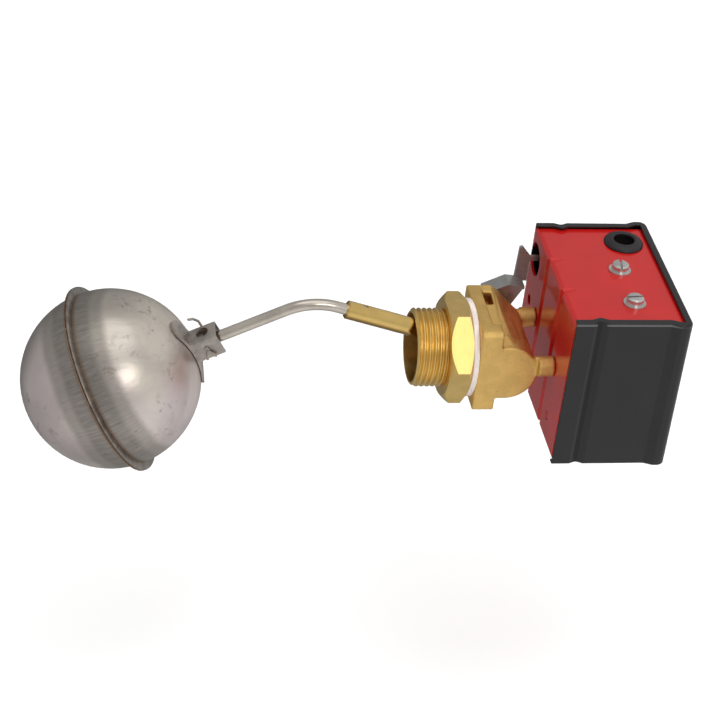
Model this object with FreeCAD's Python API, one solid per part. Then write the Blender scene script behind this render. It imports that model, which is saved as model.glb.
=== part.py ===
import FreeCAD, Part
import math
import os

V = FreeCAD.Vector
Placement = FreeCAD.Placement
Rotation = FreeCAD.Rotation

# Side-mounted float level switch.  Millimetres, +Z up.
# X runs along the tank thread, from the float towards the switch box.
# The origin is the centre of the hexagon shoulder, where the tank thread ends.

# ---- tank nipple -----------------------------------------------------------
THREAD_R = 16.62          # major radius of the one inch pipe thread
THREAD_LEN = 13.2         # thread length outside the shoulder
THREAD_CHAMFER = 1.1
NIPPLE_BORE_R = 14.6
HEX_AF = 41.0
HEX_T = 9.6
HEX_TURN = 6.0            # how far the tightened hexagon stands off its flats
HEX_CHAMFER_OUT = 2.8
HEX_CHAMFER_IN = 1.8
GASKET_R = 20.85
GASKET_T = 2.4
SPIGOT_R = 16.0
SPIGOT_LEN = 5.6

# ---- cast pivot body -------------------------------------------------------
BODY_X = HEX_T + GASKET_T
BODY_HALF = 19.2          # half width of the square flange
FLANGE_T = 5.8
PAD_T = 9.2               # thickness of the flange at its near side
PAD_END_Y = -11.0
FAR_PAD_Y = 3.3            # the far side of the flange is thick from here
FAR_PAD_X = BODY_X + 10.6
FAR_PAD_KNEE = (26.4, 16.4)
FAR_PAD_FOOT = (31.6, 10.3)
FLANGE_ROUND = 1.0
FLANGE_ROUND_TOP = 2.8     # at the top of the near side
PIVOT_X = 23.7
BARREL_R = 12.6
BARREL_X = PIVOT_X + 1.4    # the outside of the barrel is thicker on the box's side
BARREL_Z = -0.5
CAVITY_R = 9.4
CAVITY_Y = (-8.6, 9.0)
BUSH_R = 6.8
BUSH_Y = 9.6
POCKET_X = (17.4, 21.2)
POCKET_Y = (4.7, 13.1)
POCKET_Z = 12.6
BOSS_R = 4.3
BOSS_Y = BODY_HALF - 0.6
BOSS_Z = 3.0
BOSS_TAP = 5.5             # depth of the screw hole in a boss

# ---- pivot shaft -----------------------------------------------------------
SHAFT_R = 3.5
SHAFT_FIT = 0.05          # radial running clearance of the shaft
SHAFT_FRONT_Y = -15.6
STUD_R = 2.5
HUB_R = 7.2
HUB_HALF = 6.0
SEAL_R = 1.1
SEAL_Y = (12.6, 16.2)

# ---- float arm -------------------------------------------------------------
ARM_RISE = 16.9           # degrees the sleeve stands above level at its top stop
ARM_DROP = 1.2            # the sleeve runs this far below the shaft centre
SLEEVE_R = 3.9
SLEEVE_START = 4.6
SLEEVE_END = 68.9
SLEEVE_PIN_AT = 61.4
SLEEVE_PIN_R = 1.15
ROD_R = 2.4
ROD_START = 44.0
BEND_AT = 72.6
BEND_R = 27.1
BEND_ANGLE = 46.6
ROD_SET = 7.4             # the rod is set this many degrees round in its sleeve
BALL_R = 37.8
BALL_WALL = 0.8
SEAM_RISE = 3.3
SEAM_R = BALL_R + SEAM_RISE
SEAM_HALF = 1.45
TAIL_ROD = 42.8           # from the end of the bend to the skin of the float
TAIL_LEN = TAIL_ROD + BALL_R

# ---- float bracket, measured from the float centre -------------------------
STRAP_T = 1.1
STRAP_HALF = 4.7
STRAP_UP = 23.0
STRAP_DOWN = 29.0
SOCKET_REACH = 12.6       # how far the socket stands off the float
SOCKET_END = BALL_R + SOCKET_REACH
SOCKET_Y = 4.7
SOCKET_Z = 5.3
SOCKET_T = 1.0
SOCKET_HOLE_R = 2.75
SOCKET_HOLE_AT = BALL_R + 6.8
SPLIT_PIN_AT = BALL_R + 6.5
SPLIT_PIN_R = 1.0
SPLIT_LEG_R = 0.55

# ---- what stands side by side in the box -----------------------------------
SWITCH_LEN = 49.2
SWITCH_SIDE = 4.1          # from the near side of the base to the switch
GROMMET_R = 8.45
GROMMET_GAP = 1.45         # between the switch and the grommet
GROMMET_SIDE = 4.35        # from the grommet to the far side of the base
BASE_WIDTH = SWITCH_SIDE + SWITCH_LEN + GROMMET_GAP + 2.0 * GROMMET_R + GROMMET_SIDE

# ---- switch box: red base --------------------------------------------------
WEB_X = 44.0              # outer face of the base plate
SHEET = 1.2
BASE_HALF_Y = BASE_WIDTH / 2.0
BASE_Z = (-31.4, 36.5)
FLANGE_END_X = 91.6
TRIP_Z = BASE_Z[1] - SHEET - 9.0   # height of the tab, the leaf and the plunger
BEND_OUT_R = 2.2
RIB_IN = (7.1, 6.6)       # how far each rib lies inside the screw beside it
RIB_Y = (BOSS_Y - RIB_IN[0], RIB_IN[1] - BOSS_Y)
RIB_R = 2.87
RIB_DEPTH = 1.3
DENT_LEN = 6.6
TRIP_HOLE_R = 7.3
SPARE_HOLE = (30.0, 4.6)
SPARE_HOLE_R = 2.4

# ---- trip lever ------------------------------------------------------------
LEVER_T = 1.5
LEVER_GAP = 2.6           # between the casting and the lever
LEVER_Y = BODY_HALF + LEVER_GAP
LEVER_BACK_Y = LEVER_Y + 8.4
STUD_END_Y = LEVER_Y + 6.8
LEVER_EYE_R = 6.4
LEVER_START = (21.4, 12.6)
LEVER_KNEE = (31.4, 17.4)
LEVER_END = (38.6, 16.4)
LEVER_WAIST = (34.6, 9.0)
BLADE_TOP_Z = TRIP_Z + 5.5
BLADE_X = (35.2, 41.0)
BLADE_FOOT_Z = 15.0
TAB_Z = (TRIP_Z - 1.2, TRIP_Z + 1.0)
TAB_END_X = 48.6
TRIP_HOLE = (LEVER_BACK_Y + 0.8, TRIP_Z - 1.8)

# ---- switch box: black cover -----------------------------------------------
COVER_FIT = 0.2
COVER_START_X = WEB_X + COVER_FIT
COVER_END_X = 93.2
COVER_T = 1.0
COVER_HALF_Y = BASE_HALF_Y + COVER_FIT + COVER_T
COVER_Z = (BASE_Z[0] - COVER_T - 0.5, BASE_Z[1] + COVER_T + 0.7)
COVER_LIP = 3.0
COVER_CORNER_R = 3.4
COVER_EDGE_R = 0.9
CREASE_X = 54.8
CREASE_HALF = 2.9
CREASE_DEPTH = 1.4
FLANGE_HALF_Y = BASE_HALF_Y - CREASE_DEPTH
FLARE_X = (84.0, 87.8)
FLARE = 1.6

# ---- cable entry -----------------------------------------------------------
GROMMET = (79.8, BASE_HALF_Y - GROMMET_SIDE - GROMMET_R)
GROMMET_NECK_R = 7.0
GROMMET_BORE_R = 4.5
GROMMET_LEAD_R = 4.9      # wider end of the bore, inside the box
GROMMET_TOP = 2.4
GROMMET_UNDER = 2.2

# ---- snap switch -----------------------------------------------------------
SWITCH_X = (55.6, 79.8)
SWITCH_Y = SWITCH_SIDE + SWITCH_LEN / 2.0 - BASE_HALF_Y
SWITCH_W = 17.5
SCREW_PITCH = 25.4
SCREW_X = 72.7
SCREW_R = 2.0
SCREW_HEAD_R = 3.6
SCREW_HEAD_T = 2.8
WASHER_T = 0.8
WASHER_R = 4.7
NUT_AF = 7.0
NUT_T = 3.2
PLUNGER_R = 1.6
PLUNGER_FIT = 0.06
PLUNGER_TIP_X = 53.4
PLUNGER_LEN = 9.0
PLUNGER_TRAVEL = 0.9
PLUNGER_Z = TRIP_Z
LEAF_PIN = (SWITCH_X[0] - 1.2, SWITCH_Y - SWITCH_LEN / 2.0 + 2.5)
LEAF_PIN_R = 0.8
LEAF_FIT = 0.06
LEAF_BARREL_R = 1.7
LEAF_T = 0.8
LEAF_LEN = LEVER_BACK_Y - LEAF_PIN[1] + 2.0
LEAF_LEAN = 4.6
LEAF_HALF_Z = 3.0
EAR_T = 1.5
TERMINAL_SIDE = SWITCH_LEN / 2.0 - 6.4
TERMINAL_Y = (SWITCH_Y - TERMINAL_SIDE, SWITCH_Y, SWITCH_Y + TERMINAL_SIDE)
TERMINAL_W = 6.4
TERMINAL_T = 1.0
TERMINAL_LEN = 9.0

# ---- cover post and small screws -------------------------------------------
POST_YZ = (0.0, -12.0)
POST_AF = 8.0
COVER_SCREW_R = 2.0
COVER_SCREW_HEAD_R = 4.4
COVER_SCREW_HEAD_T = 2.4
COVER_SCREW_LEN = 10.0
POST_TAP = 12.0            # depth of the screw hole in the post
SMALL_HEAD_R = 3.6         # screws of the bosses and the earth
SMALL_HEAD_T = 2.4
BODY_SCREW_LEN = BOSS_TAP + SHEET - 0.3
EARTH_YZ = (-22.0, -20.0)


# ---- small helpers ---------------------------------------------------------
def block(x, y, z):
    """Box between two limits on each axis."""
    corner = V(x[0], y[0], z[0])
    return Part.makeBox(x[1] - x[0], y[1] - y[0], z[1] - z[0], corner)


def rod(radius, start, end):
    """Round bar between two points."""
    line = end - start
    return Part.makeCylinder(radius, line.Length, start, line)


def tube(outer, inner, start, end):
    return rod(outer, start, end).cut(rod(inner, start, end))


def hexagon(across_flats, start, end, turn=0.0):
    """Hexagonal bar along X, flats up and down when turn is zero."""
    corner = across_flats / math.sqrt(3.0)
    points = []
    for i in range(7):
        a = math.radians(60.0 * i + turn)
        points.append(V(start, -corner * math.cos(a), corner * math.sin(a)))
    face = Part.Face(Part.makePolygon(points))
    return face.extrude(V(end - start, 0, 0))


def spun(points, start, direction):
    """Solid of revolution about an axis from a closed outline."""
    face = Part.Face(Part.makePolygon(points + [points[0]]))
    return face.revolve(start, direction, 360.0)


def one(shape):
    """The shape as a single clean solid."""
    clean = shape.removeSplitter()
    return clean.Solids[0] if len(clean.Solids) == 1 else clean


def joined(shapes):
    return one(shapes[0].multiFuse(shapes[1:]))


def save(name, shape):
    shape.exportStep("parts/" + name + ".step")


def edges_along(shape, direction, keep):
    """Straight edges parallel to a direction whose middle passes a test."""
    found = []
    for edge in shape.Edges:
        if not isinstance(edge.Curve, Part.Line):
            continue
        if abs(abs(edge.Curve.Direction.dot(direction)) - 1.0) > 1e-6:
            continue
        if keep(edge.CenterOfMass):
            found.append(edge)
    return found


# ---- tank nipple -----------------------------------------------------------
def thread_nipple():
    """Tank thread, hexagon and the spigot that enters the pivot body."""
    tip = -THREAD_LEN
    outer = spun([V(tip, 0, 0),
                  V(tip, 0, THREAD_R - THREAD_CHAMFER),
                  V(tip + THREAD_CHAMFER, 0, THREAD_R),
                  V(HEX_T, 0, THREAD_R),
                  V(HEX_T, 0, SPIGOT_R),
                  V(HEX_T + SPIGOT_LEN, 0, SPIGOT_R),
                  V(HEX_T + SPIGOT_LEN, 0, 0)], V(0, 0, 0), V(1, 0, 0))
    corner = HEX_AF / math.sqrt(3.0)
    flat = HEX_AF / 2.0
    rounding = spun([V(0, 0, 0),
                     V(0, 0, flat),
                     V(HEX_CHAMFER_OUT, 0, corner),
                     V(HEX_T - HEX_CHAMFER_IN, 0, corner),
                     V(HEX_T, 0, flat),
                     V(HEX_T, 0, 0)], V(0, 0, 0), V(1, 0, 0))
    nut = hexagon(HEX_AF, 0.0, HEX_T, HEX_TURN).common(rounding)
    bore = rod(NIPPLE_BORE_R, V(tip - 1, 0, 0), V(HEX_T + SPIGOT_LEN + 1, 0, 0))
    mouth = Part.makeCone(NIPPLE_BORE_R + 0.6, NIPPLE_BORE_R, 0.6,
                          V(tip, 0, 0), V(1, 0, 0))
    return one(outer.fuse(nut).cut(bore).cut(mouth))


def nipple_gasket():
    return tube(GASKET_R, SPIGOT_R, V(HEX_T, 0, 0), V(BODY_X, 0, 0))


# ---- pivot body ------------------------------------------------------------
def far_pad():
    """Thick far side of the flange, which slopes down to the barrel."""
    low = BARREL_R / 2.0
    ring = [V(x, FAR_PAD_Y, z) for x, z in
            ((BODY_X, low), (BODY_X, BODY_HALF), (FAR_PAD_X, BODY_HALF),
             FAR_PAD_KNEE, FAR_PAD_FOOT, (BARREL_X, low))]
    face = Part.Face(Part.makePolygon(ring + [ring[0]]))
    return face.extrude(V(0, BODY_HALF - FAR_PAD_Y, 0))


def flange_solid():
    """Square flange, thicker at its near side and its far top, with rounded corners."""
    side = (-BODY_HALF, BODY_HALF)
    thick = BODY_X + PAD_T
    whole = block((BODY_X, thick), side, side)
    rear = block((BODY_X + FLANGE_T, thick + 1),
                 (PAD_END_Y, BODY_HALF + 1), (-BODY_HALF - 1, BODY_HALF + 1))
    shape = whole.cut(rear).fuse(far_pad()).removeSplitter()
    sides = edges_along(shape, V(1, 0, 0), lambda c: abs(c.y) > BODY_HALF - 0.1)
    others = [e for e in sides if not e.CenterOfMass.y < 0 < e.CenterOfMass.z]
    shape = shape.makeFillet(FLANGE_ROUND, others)
    near_top = edges_along(shape, V(1, 0, 0), lambda c: c.y < 0.1 - BODY_HALF and c.z > 0)
    return shape.makeFillet(FLANGE_ROUND_TOP, near_top)


def barrel_solid():
    """Cross barrel: half round towards the box, square towards the flange."""
    ends = (-BODY_HALF, BODY_HALF)
    height = (BARREL_Z - BARREL_R, BARREL_Z + BARREL_R)
    barrel = rod(BARREL_R, V(BARREL_X, ends[0], BARREL_Z), V(BARREL_X, ends[1], BARREL_Z))
    barrel = barrel.common(block((BARREL_X, WEB_X), ends, height))
    square = block((BODY_X, BARREL_X), ends, height)
    return barrel.fuse(square).removeSplitter()


def boss_solid(side):
    """Screw boss from the barrel to the base plate."""
    start = BARREL_X + BARREL_R - 0.4
    y = side * BOSS_Y
    boss = rod(BOSS_R, V(start, y, BOSS_Z), V(WEB_X, y, BOSS_Z))
    root = rod(BOSS_R, V(BARREL_X, y, BOSS_Z), V(start + 0.1, y, BOSS_Z))
    inside = block((BARREL_X, WEB_X), (-BODY_HALF + 0.4, BODY_HALF - 0.4),
                   (BOSS_Z - 2 * BOSS_R, BOSS_Z + 2 * BOSS_R))
    return boss.fuse(root.common(inside))


def pivot_body():
    """Casting that carries the shaft, the nipple and the switch box."""
    solid = joined([flange_solid(), barrel_solid(), boss_solid(-1), boss_solid(1)])
    solid = solid.cut(block(POCKET_X, POCKET_Y, (POCKET_Z, BODY_HALF + 1)))
    spigot_end = HEX_T + SPIGOT_LEN + 0.4
    cuts = [rod(SPIGOT_R, V(BODY_X - 1, 0, 0), V(spigot_end, 0, 0)),
            rod(NIPPLE_BORE_R, V(BODY_X - 1, 0, 0), V(spigot_end + 0.8, 0, 0)),
            rod(CAVITY_R, V(BODY_X, 0, 0), V(PIVOT_X, 0, 0)),
            rod(CAVITY_R, V(PIVOT_X, CAVITY_Y[0], 0), V(PIVOT_X, CAVITY_Y[1], 0)),
            rod(BUSH_R, V(PIVOT_X, 0, 0), V(PIVOT_X, BODY_HALF + 1, 0)),
            rod(SHAFT_R + SHAFT_FIT, V(PIVOT_X, SHAFT_FRONT_Y - 0.4, 0),
                V(PIVOT_X, 0, 0))]
    for side in (-1, 1):
        y = side * BOSS_Y
        cuts.append(rod(SCREW_R, V(WEB_X - BOSS_TAP, y, BOSS_Z), V(WEB_X + 1, y, BOSS_Z)))
    return one(solid.cut(cuts))


def shaft_bush():
    """Screwed bush that closes the barrel and carries the shaft seals."""
    ends = (BUSH_Y, BODY_HALF - 0.3)
    bush = tube(BUSH_R, SHAFT_R + SHAFT_FIT, V(PIVOT_X, ends[0], 0), V(PIVOT_X, ends[1], 0))
    for y in SEAL_Y:
        half = SEAL_R + 0.1
        groove = tube(SHAFT_R + SHAFT_FIT + 2 * SEAL_R, SHAFT_R,
                      V(PIVOT_X, y - half, 0), V(PIVOT_X, y + half, 0))
        bush = bush.cut(groove)
    slot = block((PIVOT_X - BUSH_R, PIVOT_X + BUSH_R),
                 (ends[1] - 1.4, ends[1] + 1), (-0.8, 0.8))
    return one(bush.cut(slot))


def shaft_seal(y):
    return Part.makeTorus(SHAFT_R + SHAFT_FIT + SEAL_R, SEAL_R,
                          V(PIVOT_X, y, 0), V(0, 1, 0))


def pivot_shaft():
    main = rod(SHAFT_R, V(PIVOT_X, SHAFT_FRONT_Y, 0), V(PIVOT_X, LEVER_Y, 0))
    stud = rod(STUD_R, V(PIVOT_X, LEVER_Y - 1, 0), V(PIVOT_X, STUD_END_Y, 0))
    return joined([main, stud])


# ---- float arm -------------------------------------------------------------
def arm_place():
    """Sleeve frame: origin on the sleeve axis at the pivot, -X to the float."""
    turn = Placement(V(PIVOT_X, 0, 0), Rotation(V(0, 1, 0), ARM_RISE))
    return turn * Placement(V(0, 0, -ARM_DROP), Rotation())


def tail_place():
    """Float frame: origin at the float centre, +X back along the rod."""
    place = arm_place() * Placement(V(0, 0, 0), Rotation(V(1, 0, 0), ROD_SET))
    bend = math.radians(BEND_ANGLE)
    end = V(-BEND_AT - BEND_R * math.sin(bend), 0, -BEND_R * (1 - math.cos(bend)))
    place = place * Placement(end, Rotation(V(0, 1, 0), -BEND_ANGLE))
    return place * Placement(V(-TAIL_LEN, 0, 0), Rotation())


def placed(shape, place):
    copy = shape.copy()
    copy.Placement = place * copy.Placement
    return copy


def arm_hub():
    """Hub on the shaft, with the socket the sleeve screws into."""
    hub = rod(HUB_R, V(PIVOT_X, -HUB_HALF, 0), V(PIVOT_X, HUB_HALF, 0))
    hub = hub.cut(rod(SHAFT_R, V(PIVOT_X, -HUB_HALF - 1, 0), V(PIVOT_X, HUB_HALF + 1, 0)))
    socket = rod(SLEEVE_R, V(-SLEEVE_START, 0, 0), V(-20, 0, 0))
    return one(hub.cut(placed(socket, arm_place())))


def arm_sleeve():
    """Brass sleeve that joins the hub to the float rod."""
    body = rod(SLEEVE_R, V(-SLEEVE_START, 0, 0), V(-SLEEVE_END, 0, 0))
    body = body.makeChamfer(0.4, [e for e in body.Edges if e.Length > 20 and e.Closed])
    body = body.cut(rod(ROD_R, V(-ROD_START, 0, 0), V(-SLEEVE_END - 1, 0, 0)))
    at = -SLEEVE_PIN_AT
    body = body.cut(rod(SLEEVE_PIN_R, V(at, 0, -10), V(at, 0, 10)))
    shaft = rod(SHAFT_R, V(PIVOT_X, -HUB_HALF, 0), V(PIVOT_X, HUB_HALF, 0))
    return one(placed(body, arm_place()).cut(shaft))


def sleeve_pin():
    at = -SLEEVE_PIN_AT
    pin = rod(SLEEVE_PIN_R, V(at, 0, -SLEEVE_R + 0.5), V(at, 0, SLEEVE_R - 0.5))
    return placed(pin, arm_place())


def float_rod():
    """Bent rod from the sleeve to the float."""
    bend = math.radians(BEND_ANGLE)
    half = bend / 2.0
    start = V(-ROD_START, 0, 0)
    bend_start = V(-BEND_AT, 0, 0)
    middle = V(-BEND_AT - BEND_R * math.sin(half), 0, -BEND_R * (1 - math.cos(half)))
    bend_end = V(-BEND_AT - BEND_R * math.sin(bend), 0, -BEND_R * (1 - math.cos(bend)))
    tail = TAIL_LEN - (BALL_R + STRAP_T + 1.0)
    end = bend_end + V(-math.cos(bend), 0, -math.sin(bend)) * tail
    path = Part.Wire([Part.makeLine(start, bend_start),
                      Part.Arc(bend_start, middle, bend_end).toShape(),
                      Part.makeLine(bend_end, end)])
    ring = Part.Wire([Part.makeCircle(ROD_R, start, V(1, 0, 0))])
    solid = path.makePipeShell([ring], True, True)
    turn = arm_place() * Placement(V(0, 0, 0), Rotation(V(1, 0, 0), ROD_SET))
    bar = placed(solid, turn)
    at = -SLEEVE_PIN_AT
    bar = bar.cut(placed(rod(SLEEVE_PIN_R, V(at, 0, -10), V(at, 0, 10)), arm_place()))
    pin = rod(SPLIT_PIN_R, V(SPLIT_PIN_AT, -9, 0), V(SPLIT_PIN_AT, 9, 0))
    return one(bar.cut(placed(pin, tail_place())))


# ---- float -----------------------------------------------------------------
def float_shell(side):
    """Half of the hollow float; side is +1 on the rod's side."""
    ball = Part.makeSphere(BALL_R).cut(Part.makeSphere(BALL_R - BALL_WALL))
    reach = side * (BALL_R + 1)
    span = (min(0, reach), max(0, reach))
    limit = (-BALL_R - 1, BALL_R + 1)
    return placed(one(ball.common(block(span, limit, limit))), tail_place())


def float_seam():
    """Raised seam bead round the middle of the float."""
    neck = SEAM_R - SEAM_HALF
    foot = math.sqrt(BALL_R ** 2 - SEAM_HALF ** 2)
    left = V(-SEAM_HALF, 0, neck)
    right = V(SEAM_HALF, 0, neck)
    side = [Part.makeLine(V(SEAM_HALF, 0, foot), right),
            Part.Arc(right, V(0, 0, SEAM_R), left).toShape(),
            Part.makeLine(left, V(-SEAM_HALF, 0, foot)),
            Part.Arc(V(-SEAM_HALF, 0, foot), V(0, 0, BALL_R), V(SEAM_HALF, 0, foot)).toShape()]
    face = Part.Face(Part.Wire(side))
    ring = face.revolve(V(0, 0, 0), V(1, 0, 0), 360.0)
    return placed(one(ring), tail_place())


def strap_solid():
    """Strap bent round the float, with round ends."""
    outer = BALL_R + STRAP_T
    ring = tube(outer, BALL_R, V(0, -STRAP_HALF, 0), V(0, STRAP_HALF, 0))
    reach = 2 * outer
    up = math.radians(STRAP_UP)
    down = math.radians(-STRAP_DOWN)
    wedge = Part.makePolygon([V(0, -10, 0),
                              V(reach * math.cos(down), -10, reach * math.sin(down)),
                              V(reach * math.cos(up), -10, reach * math.sin(up)),
                              V(0, -10, 0)])
    strap = ring.common(Part.Face(wedge).extrude(V(0, 20, 0)))
    corners = []
    for edge in strap.Edges:
        middle = edge.CenterOfMass
        if edge.Length < STRAP_T * 1.5 and abs(abs(middle.y) - STRAP_HALF) < 0.01:
            corners.append(edge)
    return strap.makeFillet(STRAP_HALF - 0.3, corners)


def float_bracket():
    """Folded bracket: strap on the float and the socket for the rod."""
    start = BALL_R + STRAP_T / 2.0
    socket = block((start, SOCKET_END), (-SOCKET_Y, SOCKET_Y), (-SOCKET_Z, SOCKET_Z))
    folds = edges_along(socket, V(1, 0, 0), lambda c: c.z > 0)
    socket = socket.makeFillet(SOCKET_T + 0.2, folds)
    inner_y = SOCKET_Y - SOCKET_T
    socket = socket.cut(block((start - 1, SOCKET_END + 1), (-inner_y, inner_y),
                              (-SOCKET_Z - 1, SOCKET_Z - SOCKET_T)))
    socket = socket.cut(rod(SOCKET_HOLE_R, V(SOCKET_HOLE_AT, 0, 0), V(SOCKET_HOLE_AT, 0, 9)))
    socket = socket.cut(Part.makeSphere(BALL_R + 0.02))
    both = joined([strap_solid(), socket])
    pin = rod(SPLIT_PIN_R, V(SPLIT_PIN_AT, -9, 0), V(SPLIT_PIN_AT, 9, 0))
    return placed(one(both.cut(pin)), tail_place())


def split_pin():
    """Split pin through the socket and the rod, legs opened at the near side."""
    at = SPLIT_PIN_AT
    near = -SOCKET_Y - 0.9
    far = SOCKET_Y + 0.9
    shapes = [rod(SPLIT_PIN_R, V(at, near, 0), V(at, far, 0))]
    for spread in (-1.9, 2.1):
        foot = V(at + spread, near - 0.3, -4.6)
        shapes.append(rod(SPLIT_LEG_R, V(at, near + 0.2, -0.3), foot))
    hook = [V(at, far - 0.2, 0), V(at - 0.3, far + 0.5, SOCKET_Z + 1.4),
            V(at - 1.7, far + 0.3, SOCKET_Z + 3.6), V(at - 3.4, far, SOCKET_Z + 4.4)]
    for a, b in zip(hook, hook[1:]):
        shapes.append(rod(SPLIT_LEG_R, a, b))
        shapes.append(Part.makeSphere(SPLIT_LEG_R, b))
    return placed(joined(shapes), tail_place())


# ---- trip lever ------------------------------------------------------------
def lever_plate(y, points):
    face = Part.Face(Part.makePolygon([V(p[0], y, p[1]) for p in points + [points[0]]]))
    return face.extrude(V(0, LEVER_T, 0))


def trip_lever():
    """Folded lever: eye plate, top strip, upright blade and trip tab."""
    low = V(0, 0, LEVER_T)
    outline = [(PIVOT_X - LEVER_EYE_R, 0), LEVER_START, LEVER_KNEE, LEVER_END,
               LEVER_WAIST, (PIVOT_X + LEVER_EYE_R, 0)]
    eye = rod(LEVER_EYE_R, V(PIVOT_X, LEVER_Y, 0), V(PIVOT_X, LEVER_Y + LEVER_T, 0))
    plate = lever_plate(LEVER_Y, outline)
    strip_points = [LEVER_START, LEVER_KNEE, LEVER_END]
    strip = None
    ring = [V(p[0], LEVER_Y, p[1]) for p in strip_points]
    ring += [V(p[0], LEVER_Y, p[1]) - low for p in reversed(strip_points)]
    face = Part.Face(Part.makePolygon(ring + [ring[0]]))
    strip = face.extrude(V(0, LEVER_BACK_Y - LEVER_Y, 0))
    blade_y = LEVER_BACK_Y - LEVER_T
    blade = lever_plate(blade_y, [(BLADE_X[0], 15.8), (BLADE_X[0] + 0.6, BLADE_TOP_Z),
                                  (BLADE_X[0] + 1.9, BLADE_TOP_Z + 0.4),
                                  (BLADE_X[1], TAB_Z[1]), (BLADE_X[1], BLADE_FOOT_Z),
                                  (LEVER_END[0], BLADE_FOOT_Z)])
    tab = block((BLADE_X[0] + 2, TAB_END_X), (blade_y, LEVER_BACK_Y), TAB_Z)
    lever = joined([eye, plate, strip, blade, tab])
    hole = rod(STUD_R, V(PIVOT_X, LEVER_Y - 1, 0), V(PIVOT_X, LEVER_Y + 3, 0))
    return one(lever.cut(hole))


def hex_nut_y(across_flats, bore, x, z, y0, y1):
    """Hexagon nut whose axis is along Y."""
    nut = hexagon(across_flats, 0.0, y1 - y0)
    nut.Placement = Placement(V(x, y0, z), Rotation(V(0, 0, 1), 90))
    return nut.cut(rod(bore, V(x, y0 - 1, z), V(x, y1 + 1, z)))


def lever_washer():
    y = LEVER_Y + LEVER_T
    return tube(STUD_R + 2.2, STUD_R, V(PIVOT_X, y, 0), V(PIVOT_X, y + WASHER_T, 0))


def lever_nut():
    y = LEVER_Y + LEVER_T + WASHER_T
    return hex_nut_y(8.0, STUD_R, PIVOT_X, 0, y, y + 4.0)


# ---- base ------------------------------------------------------------------
def channel_outline(inset, end_x):
    """Side outline of the channel, moved inwards by inset."""
    x = WEB_X + inset
    low = BASE_Z[0] + inset
    high = BASE_Z[1] - inset
    r = BEND_OUT_R - inset
    k = r * (1 - math.cos(math.radians(45)))
    lines = [Part.makeLine(V(end_x, 0, low), V(x + r, 0, low)),
             Part.Arc(V(x + r, 0, low), V(x + k, 0, low + k), V(x, 0, low + r)).toShape(),
             Part.makeLine(V(x, 0, low + r), V(x, 0, high - r)),
             Part.Arc(V(x, 0, high - r), V(x + k, 0, high - k), V(x + r, 0, high)).toShape(),
             Part.makeLine(V(x + r, 0, high), V(end_x, 0, high)),
             Part.makeLine(V(end_x, 0, high), V(end_x, 0, low))]
    return Part.Face(Part.Wire(lines))


def rib_shapes(extra):
    """Pressed ribs of the plate and their dents in the flanges."""
    shapes = []
    for y in RIB_Y:
        x = WEB_X + RIB_DEPTH - RIB_R
        shapes.append(rod(RIB_R + extra, V(x, y, BASE_Z[0]), V(x, y, BASE_Z[1])))
        for end, way in ((BASE_Z[0], -1), (BASE_Z[1], 1)):
            z = end + way * (RIB_R - RIB_DEPTH)
            shapes.append(Part.makeCone(RIB_R + extra, RIB_R - RIB_DEPTH + extra, DENT_LEN,
                                        V(WEB_X, y, z), V(1, 0, 0)))
    return shapes


def base_plate():
    """Channel of pressed sheet that carries the switch and the pivot body."""
    outer = channel_outline(0.0, FLANGE_END_X)
    inner = channel_outline(SHEET, FLANGE_END_X + 1)
    outer.translate(V(0, -BASE_HALF_Y, 0))
    inner.translate(V(0, -BASE_HALF_Y - 1, 0))
    full = outer.extrude(V(0, 2 * BASE_HALF_Y, 0))
    hollow = inner.extrude(V(0, 2 * BASE_HALF_Y + 2, 0))
    shell = full.cut(hollow)
    ribs = []
    for shape in rib_shapes(SHEET):
        ribs.append(shape.common(full))
    shell = shell.multiFuse(ribs).cut(rib_shapes(0.0))
    deep = 10.0 * SHEET
    low = BASE_Z[0] - deep
    under = BASE_Z[1] - deep
    over = BASE_Z[1] + deep
    for side in (-1, 1):
        y = sorted((side * FLANGE_HALF_Y, side * (BASE_HALF_Y + 1)))
        shell = shell.cut(block((WEB_X + SHEET + 0.1, FLANGE_END_X + 1), y, (low, over)))
    cuts = [rod(TRIP_HOLE_R, V(WEB_X - 1, *TRIP_HOLE), V(WEB_X + deep, *TRIP_HOLE)),
            rod(SPARE_HOLE_R, V(WEB_X - 1, *SPARE_HOLE), V(WEB_X + deep, *SPARE_HOLE)),
            rod(SCREW_R, V(WEB_X - 1, *POST_YZ), V(WEB_X + deep, *POST_YZ)),
            rod(SCREW_R, V(WEB_X - 1, *EARTH_YZ), V(WEB_X + deep, *EARTH_YZ)),
            rod(GROMMET_NECK_R, V(*GROMMET, under), V(*GROMMET, over))]
    for side in (-1, 1):
        y = side * BOSS_Y
        cuts.append(rod(SCREW_R, V(WEB_X - 1, y, BOSS_Z), V(WEB_X + deep, y, BOSS_Z)))
        cuts.append(rod(SCREW_R, V(SCREW_X, switch_screw_y(side), under),
                        V(SCREW_X, switch_screw_y(side), over)))
    return one(shell.cut(cuts))


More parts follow.
